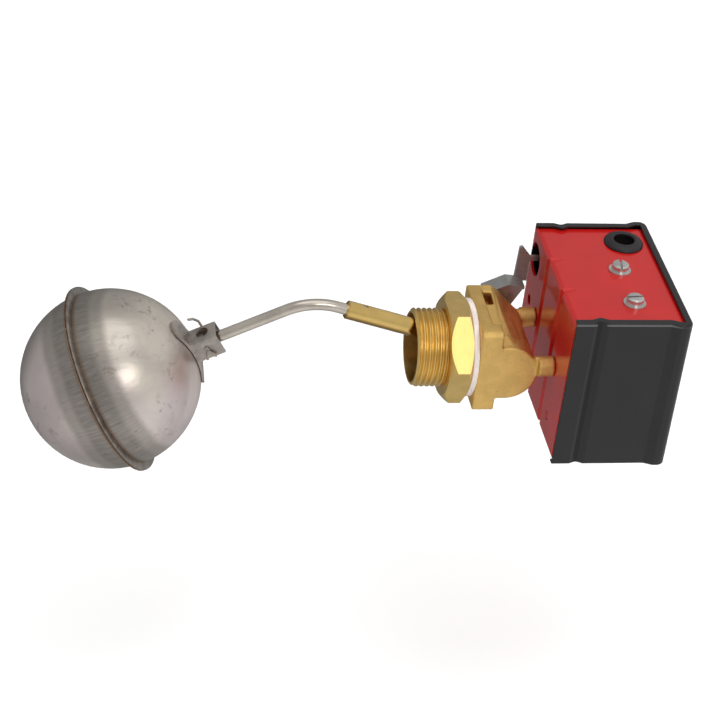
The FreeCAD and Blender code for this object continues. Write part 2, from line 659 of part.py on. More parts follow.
# ---- cover -----------------------------------------------------------------
def cover_points(inset, lead):
    """Plan outline of the cover moved inwards, its open side moved by lead."""
    side = COVER_HALF_Y
    half = [(COVER_START_X, side), (CREASE_X - CREASE_HALF, side),
            (CREASE_X, side - CREASE_DEPTH), (CREASE_X + CREASE_HALF, side),
            (FLARE_X[0], side), (FLARE_X[1], side + FLARE),
            (COVER_END_X, side + FLARE)]
    points = [(x, -y) for x, y in half] + [(x, y) for x, y in reversed(half)]
    count = len(points)
    lines = []
    for i in range(count):
        a = points[i]
        b = points[(i + 1) % count]
        length = math.hypot(b[0] - a[0], b[1] - a[1])
        normal = (-(b[1] - a[1]) / length, (b[0] - a[0]) / length)
        move = -lead if i == count - 1 else inset
        lines.append((normal, normal[0] * a[0] + normal[1] * a[1] + move))
    moved = []
    for i in range(count):
        (n1, c1) = lines[i - 1]
        (n2, c2) = lines[i]
        det = n1[0] * n2[1] - n1[1] * n2[0]
        if abs(det) < 1e-9:
            moved.append((points[i][0] + n1[0] * inset, points[i][1] + n1[1] * inset))
            continue
        moved.append(((c1 * n2[1] - c2 * n1[1]) / det, (n1[0] * c2 - n2[0] * c1) / det))
    return moved


def cover_prism(inset, lead, z0, z1):
    """Upright prism on the cover outline with its bends rounded."""
    ring = [V(x, y, z0) for x, y in cover_points(inset, lead)]
    solid = Part.Face(Part.makePolygon(ring + [ring[0]])).extrude(V(0, 0, z1 - z0))
    far = edges_along(solid, V(0, 0, 1), lambda c: c.x > COVER_END_X - inset - 0.5)
    solid = solid.makeFillet(max(COVER_CORNER_R - inset, 0.4), far)
    soft = edges_along(solid, V(0, 0, 1),
                       lambda c: CREASE_X - 5 < c.x < FLARE_X[1] + 1)
    return solid.makeFillet(1.4, soft)


def cover():
    """Folded cover with creases, flared corners and turned-in lips."""
    outer = cover_prism(0.0, 0.0, COVER_Z[0], COVER_Z[1])
    rims = []
    for edge in outer.Edges:
        z = edge.CenterOfMass.z
        flat = abs(z - COVER_Z[0]) < 0.01 or abs(z - COVER_Z[1]) < 0.01
        if flat and edge.CenterOfMass.x > COVER_START_X + 0.1:
            rims.append(edge)
    outer = outer.makeFillet(COVER_EDGE_R, rims)
    hollow = cover_prism(COVER_T, 5.0, COVER_Z[0] + COVER_T, COVER_Z[1] - COVER_T)
    window = cover_prism(COVER_LIP, 5.0, COVER_Z[0] - 1, COVER_Z[1] + 1)
    hole = rod(COVER_SCREW_R, V(COVER_END_X - 3, *POST_YZ), V(COVER_END_X + 1, *POST_YZ))
    return one(outer.cut([hollow, window, hole]))


def grommet():
    """Rubber cable entry gripping the top flange."""
    x, y = GROMMET
    top = BASE_Z[1]
    under = top - SHEET
    rim = GROMMET_R
    low = under - GROMMET_UNDER
    high = top + GROMMET_TOP
    bore = GROMMET_BORE_R
    ring = spun([V(x + GROMMET_LEAD_R, y, low), V(x + rim - 0.7, y, low), V(x + rim - 0.7, y, under),
                 V(x + GROMMET_NECK_R, y, under), V(x + GROMMET_NECK_R, y, top),
                 V(x + rim, y, top), V(x + rim, y, top + 0.6),
                 V(x + rim - 0.6, y, top + 1.4), V(x + rim - 1.9, y, high - 0.3),
                 V(x + bore + 0.6, y, high), V(x + bore, y, high - 0.5),
                 V(x + bore, y, top + 0.4), V(x + GROMMET_LEAD_R, y, top + 0.2)],
                V(x, y, 0), V(0, 0, 1))
    return one(ring)


# ---- snap switch -----------------------------------------------------------
def switch_screw_y(side):
    return SWITCH_Y + side * SCREW_PITCH / 2.0


def switch_case():
    """Moulded case of the snap switch with the ears of its leaf."""
    top = BASE_Z[1] - SHEET
    half = SWITCH_LEN / 2.0
    case = block(SWITCH_X, (SWITCH_Y - half, SWITCH_Y + half), (top - SWITCH_W, top))
    upright = edges_along(case, V(0, 0, 1), lambda c: True)
    case = case.makeFillet(1.2, upright)
    gap = LEAF_HALF_Z + 0.4
    x, y = LEAF_PIN
    for way in (-1, 1):
        z = sorted((PLUNGER_Z + way * gap, PLUNGER_Z + way * (gap + EAR_T)))
        case = case.fuse(block((x - 1.8, SWITCH_X[0] + 1.5), (y - 1.8, y + 1.8), z))
    z0 = PLUNGER_Z - gap - EAR_T - 1
    z1 = PLUNGER_Z + gap + EAR_T + 1
    cuts = [rod(LEAF_PIN_R, V(x, y, z0), V(x, y, z1)),
            rod(PLUNGER_R + PLUNGER_FIT, V(SWITCH_X[0] - 1, SWITCH_Y, PLUNGER_Z),
                V(PLUNGER_TIP_X + PLUNGER_LEN + 0.6, SWITCH_Y, PLUNGER_Z)),
            rod(LEAF_BARREL_R + 0.4, V(x, y, PLUNGER_Z - gap), V(x, y, PLUNGER_Z + gap))]
    for side in (-1, 1):
        py = switch_screw_y(side)
        cuts.append(rod(SCREW_R, V(SCREW_X, py, top - SWITCH_W - 1), V(SCREW_X, py, top + 1)))
    for py in TERMINAL_Y:
        cuts.append(rod(1.5, V(SWITCH_X[1] - 5, py, PLUNGER_Z), V(SWITCH_X[1] + 1, py, PLUNGER_Z)))
    return one(case.cut(cuts))


def switch_plunger():
    """Push button of the snap switch, rounded at its outer end."""
    tip = PLUNGER_TIP_X
    bar = rod(PLUNGER_R, V(tip, SWITCH_Y, PLUNGER_Z), V(tip + PLUNGER_LEN, SWITCH_Y, PLUNGER_Z))
    near = [e for e in bar.Edges if abs(e.CenterOfMass.x - tip) < 0.01]
    return bar.makeFillet(0.9, near)


def switch_leaf():
    """Steel leaf between the trip tab and the plunger."""
    half = LEAF_HALF_Z
    barrel = tube(LEAF_BARREL_R, LEAF_PIN_R + LEAF_FIT, V(0, 0, -half), V(0, 0, half))
    blade = block((-LEAF_T / 2, LEAF_T / 2), (LEAF_BARREL_R - 0.4, LEAF_LEN), (-half, half))
    leaf = joined([barrel, blade])
    place = Placement(V(LEAF_PIN[0], LEAF_PIN[1], PLUNGER_Z), Rotation(V(0, 0, 1), LEAF_LEAN))
    return placed(leaf, place)


def leaf_pin():
    x, y = LEAF_PIN
    reach = LEAF_HALF_Z + 0.4 + EAR_T
    return rod(LEAF_PIN_R, V(x, y, PLUNGER_Z - reach), V(x, y, PLUNGER_Z + reach))


def terminal(y):
    """Bent terminal tongue on the case."""
    x = SWITCH_X[1]
    half = TERMINAL_W / 2.0
    seat = block((x, x + TERMINAL_T), (y - half, y + half), (PLUNGER_Z - 5, PLUNGER_Z + 5))
    tongue = block((x, x + TERMINAL_LEN), (y - half, y + half),
                   (PLUNGER_Z - 5 - TERMINAL_T, PLUNGER_Z - 5))
    both = joined([seat, tongue])
    return one(both.cut(rod(1.5, V(x - 1, y, PLUNGER_Z), V(x + 3, y, PLUNGER_Z))))


def slot_screw(radius, head_r, head_t, seat, way, length, slot_turn=0.0):
    """Cheese-head screw; seat is under the head, way points into the work."""
    head = rod(head_r, seat - way * head_t, seat)
    rim = [e for e in head.Edges if e.Closed and (e.CenterOfMass - seat).Length > head_t - 0.01]
    head = head.makeFillet(0.4, rim)
    solid = head.fuse(rod(radius, seat, seat + way * length))
    slot = block((-head_r - 1, head_r + 1), (-0.5, 0.5), (head_t * 0.45, head_t + 1))
    slot.rotate(V(0, 0, 0), V(0, 0, 1), slot_turn)
    slot.Placement = Placement(seat, Rotation(V(0, 0, 1), -way)) * slot.Placement
    return one(solid.cut(slot))


def terminal_screw(y):
    seat = V(SWITCH_X[1] + TERMINAL_T, y, PLUNGER_Z)
    return slot_screw(1.5, 2.9, 1.8, seat, V(-1, 0, 0), 5.0, 20.0)


def switch_washer(side):
    y = switch_screw_y(side)
    top = BASE_Z[1]
    return tube(WASHER_R, SCREW_R, V(SCREW_X, y, top), V(SCREW_X, y, top + WASHER_T))


def switch_screw(side):
    """Screw through the top flange and the case."""
    seat = V(SCREW_X, switch_screw_y(side), BASE_Z[1] + WASHER_T)
    turn = 90.0 if side > 0 else 0.0
    reach = WASHER_T + SHEET + SWITCH_W + NUT_T + 2.3
    return slot_screw(SCREW_R, SCREW_HEAD_R, SCREW_HEAD_T, seat, V(0, 0, -1), reach, turn)


def switch_nut(side):
    top = BASE_Z[1] - SHEET - SWITCH_W
    y = switch_screw_y(side)
    nut = hexagon(NUT_AF, 0.0, NUT_T)
    nut.Placement = Placement(V(SCREW_X, y, top), Rotation(V(0, 1, 0), 90))
    return one(nut.cut(rod(SCREW_R, V(SCREW_X, y, top - 9), V(SCREW_X, y, top + 1))))


def body_screw(side):
    """Screw from inside the box into a boss of the pivot body."""
    seat = V(WEB_X + SHEET, side * BOSS_Y, BOSS_Z)
    return slot_screw(SCREW_R, SMALL_HEAD_R, SMALL_HEAD_T, seat, V(-1, 0, 0), BODY_SCREW_LEN, 35.0)


# ---- cover post and earth screw --------------------------------------------
def cover_post():
    """Hexagon post from the base plate to the far wall of the cover."""
    start = WEB_X + SHEET
    end = COVER_END_X - COVER_T
    post = hexagon(POST_AF, start, end)
    post.translate(V(0, POST_YZ[0], POST_YZ[1]))
    stud = rod(SCREW_R, V(WEB_X - 1.0, *POST_YZ), V(start + 1, *POST_YZ))
    post = joined([post, stud])
    return one(post.cut(rod(COVER_SCREW_R, V(end - POST_TAP, *POST_YZ), V(end + 1, *POST_YZ))))


def cover_screw():
    seat = V(COVER_END_X, *POST_YZ)
    return slot_screw(COVER_SCREW_R, COVER_SCREW_HEAD_R, COVER_SCREW_HEAD_T,
                      seat, V(-1, 0, 0), COVER_SCREW_LEN, 15.0)


def earth_screw():
    seat = V(WEB_X + SHEET, *EARTH_YZ)
    return slot_screw(SCREW_R, SMALL_HEAD_R, SMALL_HEAD_T, seat, V(-1, 0, 0), SHEET, -25.0)


# ---- all parts -------------------------------------------------------------
def main():
    os.makedirs("parts", exist_ok=True)
    save("thread_nipple", thread_nipple())
    save("nipple_gasket", nipple_gasket())
    save("pivot_body", pivot_body())
    save("shaft_bush", shaft_bush())
    for i, y in enumerate(SEAL_Y):
        save("shaft_seal_%d" % (i + 1), shaft_seal(y))
    save("pivot_shaft", pivot_shaft())
    save("arm_hub", arm_hub())
    save("arm_sleeve", arm_sleeve())
    save("sleeve_pin", sleeve_pin())
    save("float_rod", float_rod())
    save("float_shell_near", float_shell(1))
    save("float_shell_far", float_shell(-1))
    save("float_seam", float_seam())
    save("float_bracket", float_bracket())
    save("float_split_pin", split_pin())
    save("trip_lever", trip_lever())
    save("lever_washer", lever_washer())
    save("lever_nut", lever_nut())
    save("base_plate", base_plate())
    save("cover", cover())
    save("cable_grommet", grommet())
    save("switch_case", switch_case())
    save("switch_plunger", switch_plunger())
    save("switch_leaf", switch_leaf())
    save("leaf_pin", leaf_pin())
    for i, y in enumerate(TERMINAL_Y):
        save("terminal_%d" % (i + 1), terminal(y))
        save("terminal_screw_%d" % (i + 1), terminal_screw(y))
    for i, side in enumerate((-1, 1)):
        save("switch_screw_%d" % (i + 1), switch_screw(side))
        save("switch_washer_%d" % (i + 1), switch_washer(side))
        save("switch_nut_%d" % (i + 1), switch_nut(side))
        save("body_screw_%d" % (i + 1), body_screw(side))
    save("cover_post", cover_post())
    save("cover_screw", cover_screw())
    save("earth_screw", earth_screw())


main()
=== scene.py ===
"""Looks of the float level switch: metals, paint, thread, screws and the stage it stands on."""

import math

import bmesh
import bpy
import numpy as np
from mathutils import Euler, Matrix, Vector


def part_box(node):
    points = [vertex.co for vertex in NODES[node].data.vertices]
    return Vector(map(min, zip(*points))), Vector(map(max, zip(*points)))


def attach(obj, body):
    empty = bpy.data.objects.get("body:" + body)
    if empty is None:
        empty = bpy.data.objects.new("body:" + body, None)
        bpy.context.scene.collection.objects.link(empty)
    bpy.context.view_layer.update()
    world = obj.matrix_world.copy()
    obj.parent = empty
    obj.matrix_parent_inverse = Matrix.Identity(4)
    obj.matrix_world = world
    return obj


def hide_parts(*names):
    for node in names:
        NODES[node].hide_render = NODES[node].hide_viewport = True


bl_info = {
    "name": "Float Level Switch",
    "version": (1, 0, 0),
    "blender": (4, 5, 0),
    "location": "View3D > Sidebar > Float Switch",
    "description": "Dresses a side-mounted float level switch and sets its stage",
    "category": "Object",
}

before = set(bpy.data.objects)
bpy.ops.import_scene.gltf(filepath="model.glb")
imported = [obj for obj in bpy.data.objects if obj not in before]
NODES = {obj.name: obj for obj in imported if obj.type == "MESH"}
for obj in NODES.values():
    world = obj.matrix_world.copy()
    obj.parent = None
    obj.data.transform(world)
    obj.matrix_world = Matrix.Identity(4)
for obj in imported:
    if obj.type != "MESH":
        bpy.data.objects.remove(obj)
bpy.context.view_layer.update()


def node_points(node):
    """Corners of a CAD node's mesh as an array."""
    mesh = NODES[node].data
    flat = np.empty(len(mesh.vertices) * 3)
    mesh.vertices.foreach_get("co", flat)
    return flat.reshape(-1, 3)


def middle(node):
    """Centre of a node's box."""
    low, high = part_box(node)
    return (low + high) / 2


def float_frame():
    """Centre of the ball, and the matrix whose X runs from the ball back along its rod."""
    points = node_points("float_seam")
    centre = np.array(middle("float_seam"))
    spread = (points - centre).T @ (points - centre)
    axis = Vector(np.linalg.eigh(spread)[1][:, 0])
    if axis.dot(middle("float_shell_near") - Vector(centre)) < 0:
        axis.negate()
    side = Vector((0, 0, 1)).cross(axis).normalized()
    up = axis.cross(side)
    turn = Matrix((axis, side, up)).transposed()
    return Vector(centre), turn


BALL_CENTRE, BALL_TURN = float_frame()
BALL_R = float(np.linalg.norm(node_points("float_shell_near") - np.array(BALL_CENTRE), axis=1).max())
NIPPLE_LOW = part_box("thread_nipple")[0]
CAST_LOW, CAST_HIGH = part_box("pivot_body")
WEB_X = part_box("base_plate")[0].x
COVER_LOW, COVER_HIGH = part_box("cover")
SLEEVE_MIDDLE = middle("arm_sleeve")
ARM_RISE = math.radians(16.9)   # the sleeve's slope at rest
BALL_WALL = 0.0008
SHELL_STEPS = 72                # rings from the rim of a half shell to its pole
THREAD_CHAMFER = 0.0011
THREAD_ROOT = 0.0004            # the thread starts this far inside the hexagon
SLOT_WIDTH = 0.0010
POCKET = (0.0199, 0.0110)       # middle of the pocket in the casting's top, in X and Y
POCKET_HALF = (0.0020, 0.0036)
POCKET_FLOOR = 0.0126
RIM_Z = COVER_HIGH.z - 0.0011   # height of the painted highlight line under the cover's top edge
CREASE_X = COVER_LOW.x + 0.0098
FLAT_Y = COVER_HIGH.y - 0.0022  # the cover's sides lie just beyond this, inside its flares


# ---- sizes and colours that a user would change ------------------------------
def length(name, description, default):
    """A size in metres, shown in the scene's own units."""
    return bpy.props.FloatProperty(name=name, description=description, default=default,
                                   precision=5, unit="LENGTH", subtype="DISTANCE")


def colour(name, description, default):
    """A colour as a linear red, green and blue."""
    return bpy.props.FloatVectorProperty(name=name, description=description, default=default,
                                         size=3, min=0.0, max=1.0, subtype="COLOR")


class FloatSwitchSizes(bpy.types.PropertyGroup):
    thread_radius: length("Thread radius", "Crest radius of the tank thread", 0.01662)
    thread_pitch: length("Thread pitch", "Pitch of the tank thread, 11 to the inch", 0.002309)
    thread_depth: length("Thread depth", "Depth of the tank thread", 0.00128)
    thread_relief: length("Thread relief", "Width of the plain groove beside the hexagon", 0.0013)
    bore_radius: length("Nipple bore", "Radius of the bore that the arm swings in", 0.0146)
    seam_rise: length("Seam rise", "How far the rolled seam stands off the ball", 0.0033)
    seam_half: length("Seam half width", "Half the width of the rolled seam", 0.00118)
    brushed_band: length("Brushed band", "Width of the brushed band on each side of the seam", 0.0150)
    casting_round: length("Casting round", "Voxel size that rounds the edges of the casting", 0.00042)
    sheet_round: length("Sheet round", "Rounding of a cut sheet edge", 0.00022)
    screw_pitch: length("Screw pitch", "Pitch of the small machine screws", 0.0007)
    floor_drop: length("Floor drop", "Room under the float for its whole swing", 0.165)


class FloatSwitchColours(bpy.types.PropertyGroup):
    cast_brass: colour("Cast brass", "Sand-cast body", (0.95, 0.64, 0.22))
    turned_brass: colour("Turned brass", "Nipple, hexagon and sleeve", (0.90, 0.63, 0.22))
    stainless: colour("Stainless", "Float, bracket and split pin", (0.74, 0.68, 0.64))
    heat_tint: colour("Heat tint", "Brown left by brazing the seam", (0.30, 0.17, 0.09))
    bar_steel: colour("Bar steel", "Bent rod and shaft", (0.78, 0.71, 0.62))
    zinc: colour("Zinc plate", "Lever, washers, screws and nuts", (0.72, 0.71, 0.68))
    red_paint: colour("Red paint", "Base plate of the box", (0.44, 0.008, 0.007))
    black_paint: colour("Black paint", "Cover of the box", (0.008, 0.008, 0.009))
    rubber: colour("Rubber", "Cable grommet and seals", (0.012, 0.010, 0.011))
    ring_white: colour("Ring white", "Sealing ring behind the hexagon", (0.70, 0.62, 0.57))
    case_black: colour("Case black", "Moulded switch case", (0.035, 0.035, 0.038))
    button_red: colour("Button red", "Switch plunger", (0.42, 0.05, 0.03))


# ---- node graphs written as expressions --------------------------------------
class Value:
    """A socket that takes part in Python arithmetic; each operation adds a Math node."""

    def __init__(self, graph, socket):
        self.graph = graph
        self.socket = socket

    def __add__(self, other):
        return self.graph.math("ADD", self, other)

    __radd__ = __add__

    def __sub__(self, other):
        return self.graph.math("SUBTRACT", self, other)

    def __rsub__(self, other):
        return self.graph.math("SUBTRACT", other, self)

    def __mul__(self, other):
        return self.graph.math("MULTIPLY", self, other)

    __rmul__ = __mul__

    def __truediv__(self, other):
        return self.graph.math("DIVIDE", self, other)


class Graph:
    """A node tree that is filled by expressions."""

    def __init__(self, tree):
        self.tree = tree

    def node(self, kind, settings=None, inputs=None):
        """Adds any node: its settings first, then values or links for its sockets."""
        made = self.tree.nodes.new(kind)
        for key, value in (settings or {}).items():
            setattr(made, key, value)
        for key, value in (inputs or {}).items():
            socket = made.inputs[key]
            if isinstance(value, Value):
                self.tree.links.new(value.socket, socket)
            else:
                socket.default_value = value
        return made

    def out(self, made, key=0):
        return Value(self, made.outputs[key])

    def math(self, operation, a, b=0.0):
        return self.out(self.node("ShaderNodeMath", {"operation": operation}, {0: a, 1: b}))

    def unsigned(self, value):
        """The value without its sign."""
        return self.math("ABSOLUTE", value)

    def vector(self, operation, a, b):
        return self.out(self.node("ShaderNodeVectorMath", {"operation": operation}, {0: a, 1: b}))

    def split(self, vector):
        """The three parts of a vector."""
        made = self.node("ShaderNodeSeparateXYZ", None, {0: vector})
        return [self.out(made, key) for key in range(3)]

    def join(self, x, y, z):
        """A vector from its three parts."""
        return self.out(self.node("ShaderNodeCombineXYZ", None, {0: x, 1: y, 2: z}))

    def step(self, value, low, high):
        """Smooth ramp from 0 at low to 1 at high."""
        settings = {"interpolation_type": "SMOOTHSTEP"}
        inputs = {0: value, 1: low, 2: high, 3: 0.0, 4: 1.0}
        return self.out(self.node("ShaderNodeMapRange", settings, inputs))

    def span(self, value, low, high):
        """Stretches a 0 to 1 value over a range."""
        inputs = {0: value, 1: 0.0, 2: 1.0, 3: low, 4: high}
        return self.out(self.node("ShaderNodeMapRange", None, inputs))


class Finish(Graph):
    """The shader of one finish, on object coordinates in metres."""

    def __init__(self, name):
        self.material = bpy.data.materials.new(name)
        self.material.use_nodes = True
        super().__init__(self.material.node_tree)
        self.tree.nodes.clear()
        self.place = self.out(self.node("ShaderNodeTexCoord"), "Object")

    def moved(self, scale=(1, 1, 1), centre=(0, 0, 0), turn=None):
        """Object coordinates seen from another centre and turn, then stretched."""
        place = self.vector("SUBTRACT", self.place, centre)
        if turn is not None:
            angles = turn.transposed().to_euler()
            place = self.out(self.node("ShaderNodeMapping", {"vector_type": "POINT"},
                                       {"Vector": place, "Rotation": angles}))
        return self.vector("MULTIPLY", place, scale)

    def noise(self, scale, detail=3.0, rough=0.5, at=None, warp=0.0):
        inputs = {"Vector": at or self.place, "Scale": scale, "Detail": detail,
                  "Roughness": rough, "Distortion": warp}
        return self.out(self.node("ShaderNodeTexNoise", None, inputs), "Fac")

    def cells(self, scale, at=None):
        inputs = {"Vector": at or self.place, "Scale": scale}
        return self.out(self.node("ShaderNodeTexVoronoi", None, inputs), "Distance")

    def mix(self, share, a, b):
        made = self.node("ShaderNodeMix", {"data_type": "RGBA"}, {0: share, 6: a, 7: b})
        return self.out(made, 2)

    def bump(self, height, depth):
        inputs = {"Height": height, "Distance": depth, "Strength": 1.0}
        return self.out(self.node("ShaderNodeBump", None, inputs))

    def surface(self, **inputs):
        """Ends the shader; underscores in the names stand for spaces."""
        named = {key.replace("_", " "): value for key, value in inputs.items()}
        shader = self.node("ShaderNodeBsdfPrincipled", None, named)
        output = self.node("ShaderNodeOutputMaterial")
        self.tree.links.new(shader.outputs[0], output.inputs["Surface"])
        return self.material


def rgba(tone, share=1.0):
    """A colour socket's value from a tone, made darker or lighter by the share."""
    return (tone[0] * share, tone[1] * share, tone[2] * share, 1.0)


# ---- finishes ----------------------------------------------------------------
def cast_brass(name, tone):
    """Sand-cast skin: clouded and pitted, with painted shade, dark brown, inside the pocket."""
    f = Finish(name)
    cloud = f.noise(110, 3, 0.6)
    grain = f.noise(2600, 2, 0.7)
    sand = f.noise(1100, 3, 0.65)
    pits = f.step(f.cells(420), 0.16, 0.03) * f.step(f.noise(160, 1), 0.56, 0.70)
    tint = f.mix(f.step(cloud, 0.35, 0.72), rgba(tone, 0.88), rgba(tone, 1.04))
    tint = f.mix(f.step(sand, 0.52, 0.72) * 0.30, tint, rgba(tone, 0.62))
    tint = f.mix(pits * 0.5, tint, rgba(tone, 0.45))
    x, y, z = f.split(f.place)
    # painted shade: the pocket's walls and floor are coloured dark brown
    inside = f.step(f.unsigned(x - POCKET[0]), POCKET_HALF[0] + 0.0004, POCKET_HALF[0] - 0.0002)
    inside = inside * f.step(f.unsigned(y - POCKET[1]), POCKET_HALF[1] + 0.0006, POCKET_HALF[1] - 0.0002)
    inside = inside * f.step(z, POCKET_FLOOR + 0.0046, POCKET_FLOOR + 0.0032)
    tint = f.mix(inside * 0.85, tint, rgba((0.40, 0.15, 0.05)))
    rough = f.span(cloud * 0.6 + grain * 0.4, 0.40, 0.56)
    normal = f.bump(grain * 0.5 + sand - pits * 1.2, 0.00018)
    return f.surface(Base_Color=tint, Metallic=1.0, Roughness=rough, Normal=normal)


def turned_brass(name, tone, along, low, high, shade_below=False):
    """Lathe rings round X, spaced by along, with a roughness from low to high.

    When asked for, shade is painted under the sleeve and behind it: the colour darkens there, so the top
    stays lighter.
    """
    f = Finish(name)
    rings = f.noise(along, 2, 0.6, f.moved((1, 0.01, 0.01)))
    cloud = f.noise(140, 2, 0.5)
    spots = f.step(f.noise(520, 2, 0.6), 0.62, 0.74)
    tint = f.mix(f.step(cloud, 0.3, 0.75), rgba(tone, 0.93), rgba(tone, 1.05))
    tint = f.mix(spots * 0.35, tint, rgba((tone[0], tone[1] * 0.78, tone[2] * 0.6), 0.72))
    if shade_below:
        x, y, z = f.split(f.place)
        height = (z - SLEEVE_MIDDLE.z) * math.cos(ARM_RISE)
        height = height + (x - SLEEVE_MIDDLE.x) * math.sin(ARM_RISE)
        # painted shade: darker brown colour below the sleeve's middle and on its back side
        dull = f.math("MAXIMUM", f.step(height, 0.0004, -0.0020), f.step(y, 0.0004, 0.0016))
        tint = f.mix(dull * 0.85, tint, rgba((tone[0], tone[1] * 0.72, tone[2] * 0.5), 0.30))
    rough = f.span(rings * 0.5 + cloud * 0.5, low, high)
    normal = f.bump(rings, 0.00004)
    return f.surface(Base_Color=tint, Metallic=1.0, Roughness=rough, Normal=normal)


def ball_steel(name, tone, tint_tone):
    """Spun stainless: brushed beside the seam, clouded and scuffed elsewhere."""
    f = Finish(name)
    band = bpy.context.scene.float_switch_sizes.brushed_band
    local = f.moved((1, 1, 1), BALL_CENTRE, BALL_TURN)
    x, y, z = f.split(local)
    away = f.unsigned(x)
    around = f.math("ARCTAN2", z, y)
    strokes = f.noise(1.0, 4, 0.7, f.join(x * 100, around * 42, 0.0))
    wander = f.noise(1.0, 2, 0.5, f.join(0.0, y * 60, z * 60))
    fringe = (strokes - 0.5) * 0.0034 + (wander - 0.5) * 0.0030
    brushed = 1 - f.step(away + fringe, band - 0.0030, band + 0.0006)
    inner = 1 - f.step(away + fringe, band * 0.46, band * 0.66)
    cloud = f.noise(34, 4, 0.62, None, 0.7)
    hue = f.noise(19, 2, 0.5)
    smoke = f.noise(14, 2, 0.5)
    soot = f.step(f.noise(150, 4, 0.75, None, 0.6), 0.54, 0.68)
    soot = soot * f.step(f.noise(30, 2, 0.5), 0.44, 0.58)
    specks = f.step(f.cells(150), 0.14, 0.06) * f.step(f.noise(60, 2, 0.5), 0.50, 0.60)
    nicks = f.step(f.cells(70), 0.035, 0.012)
    rings = f.noise(1.0, 2, 0.6, f.join(x * 2600, 0.0, 0.0))
    violet = rgba((tone[0] * 1.05, tone[1] * 1.00, tone[2] * 1.05))
    straw = rgba((tone[0] * 1.12, tone[1] * 1.12, tone[2] * 1.04))
    base = f.mix(f.step(hue, 0.40, 0.62), violet, straw)
    base = f.mix(f.step(cloud, 0.38, 0.64) * 0.40, base, rgba((0.50, 0.45, 0.42)))
    base = f.mix(f.step(smoke, 0.46, 0.66) * 0.30, base, rgba((0.42, 0.38, 0.34)))
    base = f.mix(brushed * f.span(strokes, 0.25, 1.0), base, rgba((0.32, 0.295, 0.26)))
    base = f.mix(brushed * inner * f.span(strokes, 0.0, 0.75), base, rgba((0.17, 0.155, 0.14)))
    base = f.mix(soot * 0.42, base, rgba((0.18, 0.15, 0.13)))
    base = f.mix(specks * 0.40, base, rgba((0.16, 0.11, 0.08)))
    base = f.mix(nicks * 0.7, base, rgba((0.08, 0.07, 0.065)))
    braze = 1 - f.step(away, 0.0014, 0.0030)
    base = f.mix(braze * 0.5, base, rgba(tint_tone))
    scoured = f.step(x, BALL_R * 0.55, BALL_R * 0.80)
    rough = f.span(cloud, 0.26, 0.38) + brushed * (strokes * 0.24 - 0.02) + (soot + scoured) * 0.10
    fine = strokes * brushed * 0.00009 + rings * 0.000004 + cloud * 0.00034
    normal = f.bump(fine - nicks * 0.00006, 1.0)
    return f.surface(Base_Color=base, Metallic=1.0, Roughness=rough, Normal=normal)


def seam_steel(name, tint_tone):
    """Rolled lip: brown braze on its far edge, none on the near one."""
    f = Finish(name)
    local = f.moved((1, 1, 1), BALL_CENTRE, BALL_TURN)
    x, y, z = f.split(local)
    around = f.math("ARCTAN2", z, y)
    patches = f.noise(1.0, 4, 0.7, f.join(x * 260, around * 9, 0.0))
    drops = f.step(f.cells(1.0, f.join(x * 300, around * 21, 0.0)), 0.24, 0.10)
    braze = f.step(x + (patches - 0.5) * 0.0012, 0.0001, -0.0006)
    lip_tone = (0.38, 0.34, 0.30)
    base = f.mix(f.step(patches, 0.3, 0.7), rgba(lip_tone, 0.53), rgba(lip_tone))
    base = f.mix(braze * f.span(patches, 0.55, 1.0), base, rgba(tint_tone))
    base = f.mix(drops * braze * 0.7, base, rgba((0.62, 0.46, 0.26)))
    rough = f.span(patches, 0.32, 0.48) - drops * 0.08
    normal = f.bump(patches * 0.00006 + drops * braze * 0.00010, 1.0)
    return f.surface(Base_Color=base, Metallic=1.0, Roughness=rough, Normal=normal)


def sheet_steel(name, tone):
    """Cut and folded stainless strip with a dull face, worn from handling."""
    f = Finish(name)
    cloud = f.noise(190, 4, 0.6)
    scuff = f.noise(900, 3, 0.7, f.moved((1, 0.2, 0.4)))
    stains = f.step(f.noise(360, 3, 0.7), 0.60, 0.76)
    base = f.mix(f.step(cloud, 0.3, 0.7), rgba(tone, 0.50),
                 rgba((tone[0] * 0.78, tone[1] * 0.76, tone[2] * 0.71)))
    base = f.mix(stains * 0.60, base, rgba((0.21, 0.16, 0.12)))
    rough = f.span(scuff * 0.5 + cloud * 0.5, 0.30, 0.50)
    normal = f.bump(scuff * 0.6 + cloud, 0.00004)
    return f.surface(Base_Color=base, Metallic=1.0, Roughness=rough, Normal=normal)


def bar_steel(name, tone):
    """Drawn bar: faint lengthwise lines and a warm cast."""
    f = Finish(name)
    lines = f.noise(1.0, 3, 0.6, f.moved((120, 1900, 1900)))
    cloud = f.noise(90, 3, 0.5)
    base = f.mix(f.step(cloud, 0.3, 0.7), rgba(tone, 0.88), rgba(tone, 1.05))
    base = f.mix(f.step(lines, 0.5, 0.8) * 0.3, base, rgba((0.30, 0.25, 0.20)))
    rough = f.span(lines * 0.5 + cloud * 0.5, 0.14, 0.28)
    normal = f.bump(lines, 0.00002)
    return f.surface(Base_Color=base, Metallic=1.0, Roughness=rough, Normal=normal)


def zinc_plate(name, tone, metal=0.94, paint=None):
    """Bright zinc; paint, where given, runs over the ends that come through the web."""
    f = Finish(name)
    spangle = f.noise(700, 3, 0.65)
    cloud = f.noise(150, 2, 0.5)
    cool = rgba((tone[0], tone[1] * 1.01, tone[2] * 1.04))
    base = f.mix(f.step(cloud, 0.3, 0.7), rgba(tone, 0.88), cool)
    base = f.mix(f.step(spangle, 0.56, 0.78) * 0.25, base, rgba((0.34, 0.35, 0.33)))
    rough = f.span(spangle * 0.6 + cloud * 0.4, 0.20, 0.38)
    normal = f.bump(spangle, 0.00002)
    if paint is not None:
        over = f.step(f.split(f.place)[0], WEB_X + 0.0012, WEB_X + 0.0006)
        base = f.mix(over, base, rgba(paint))
        metal = f.span(over, metal, 0.0)
    return f.surface(Base_Color=base, Metallic=metal, Roughness=rough, Normal=normal)


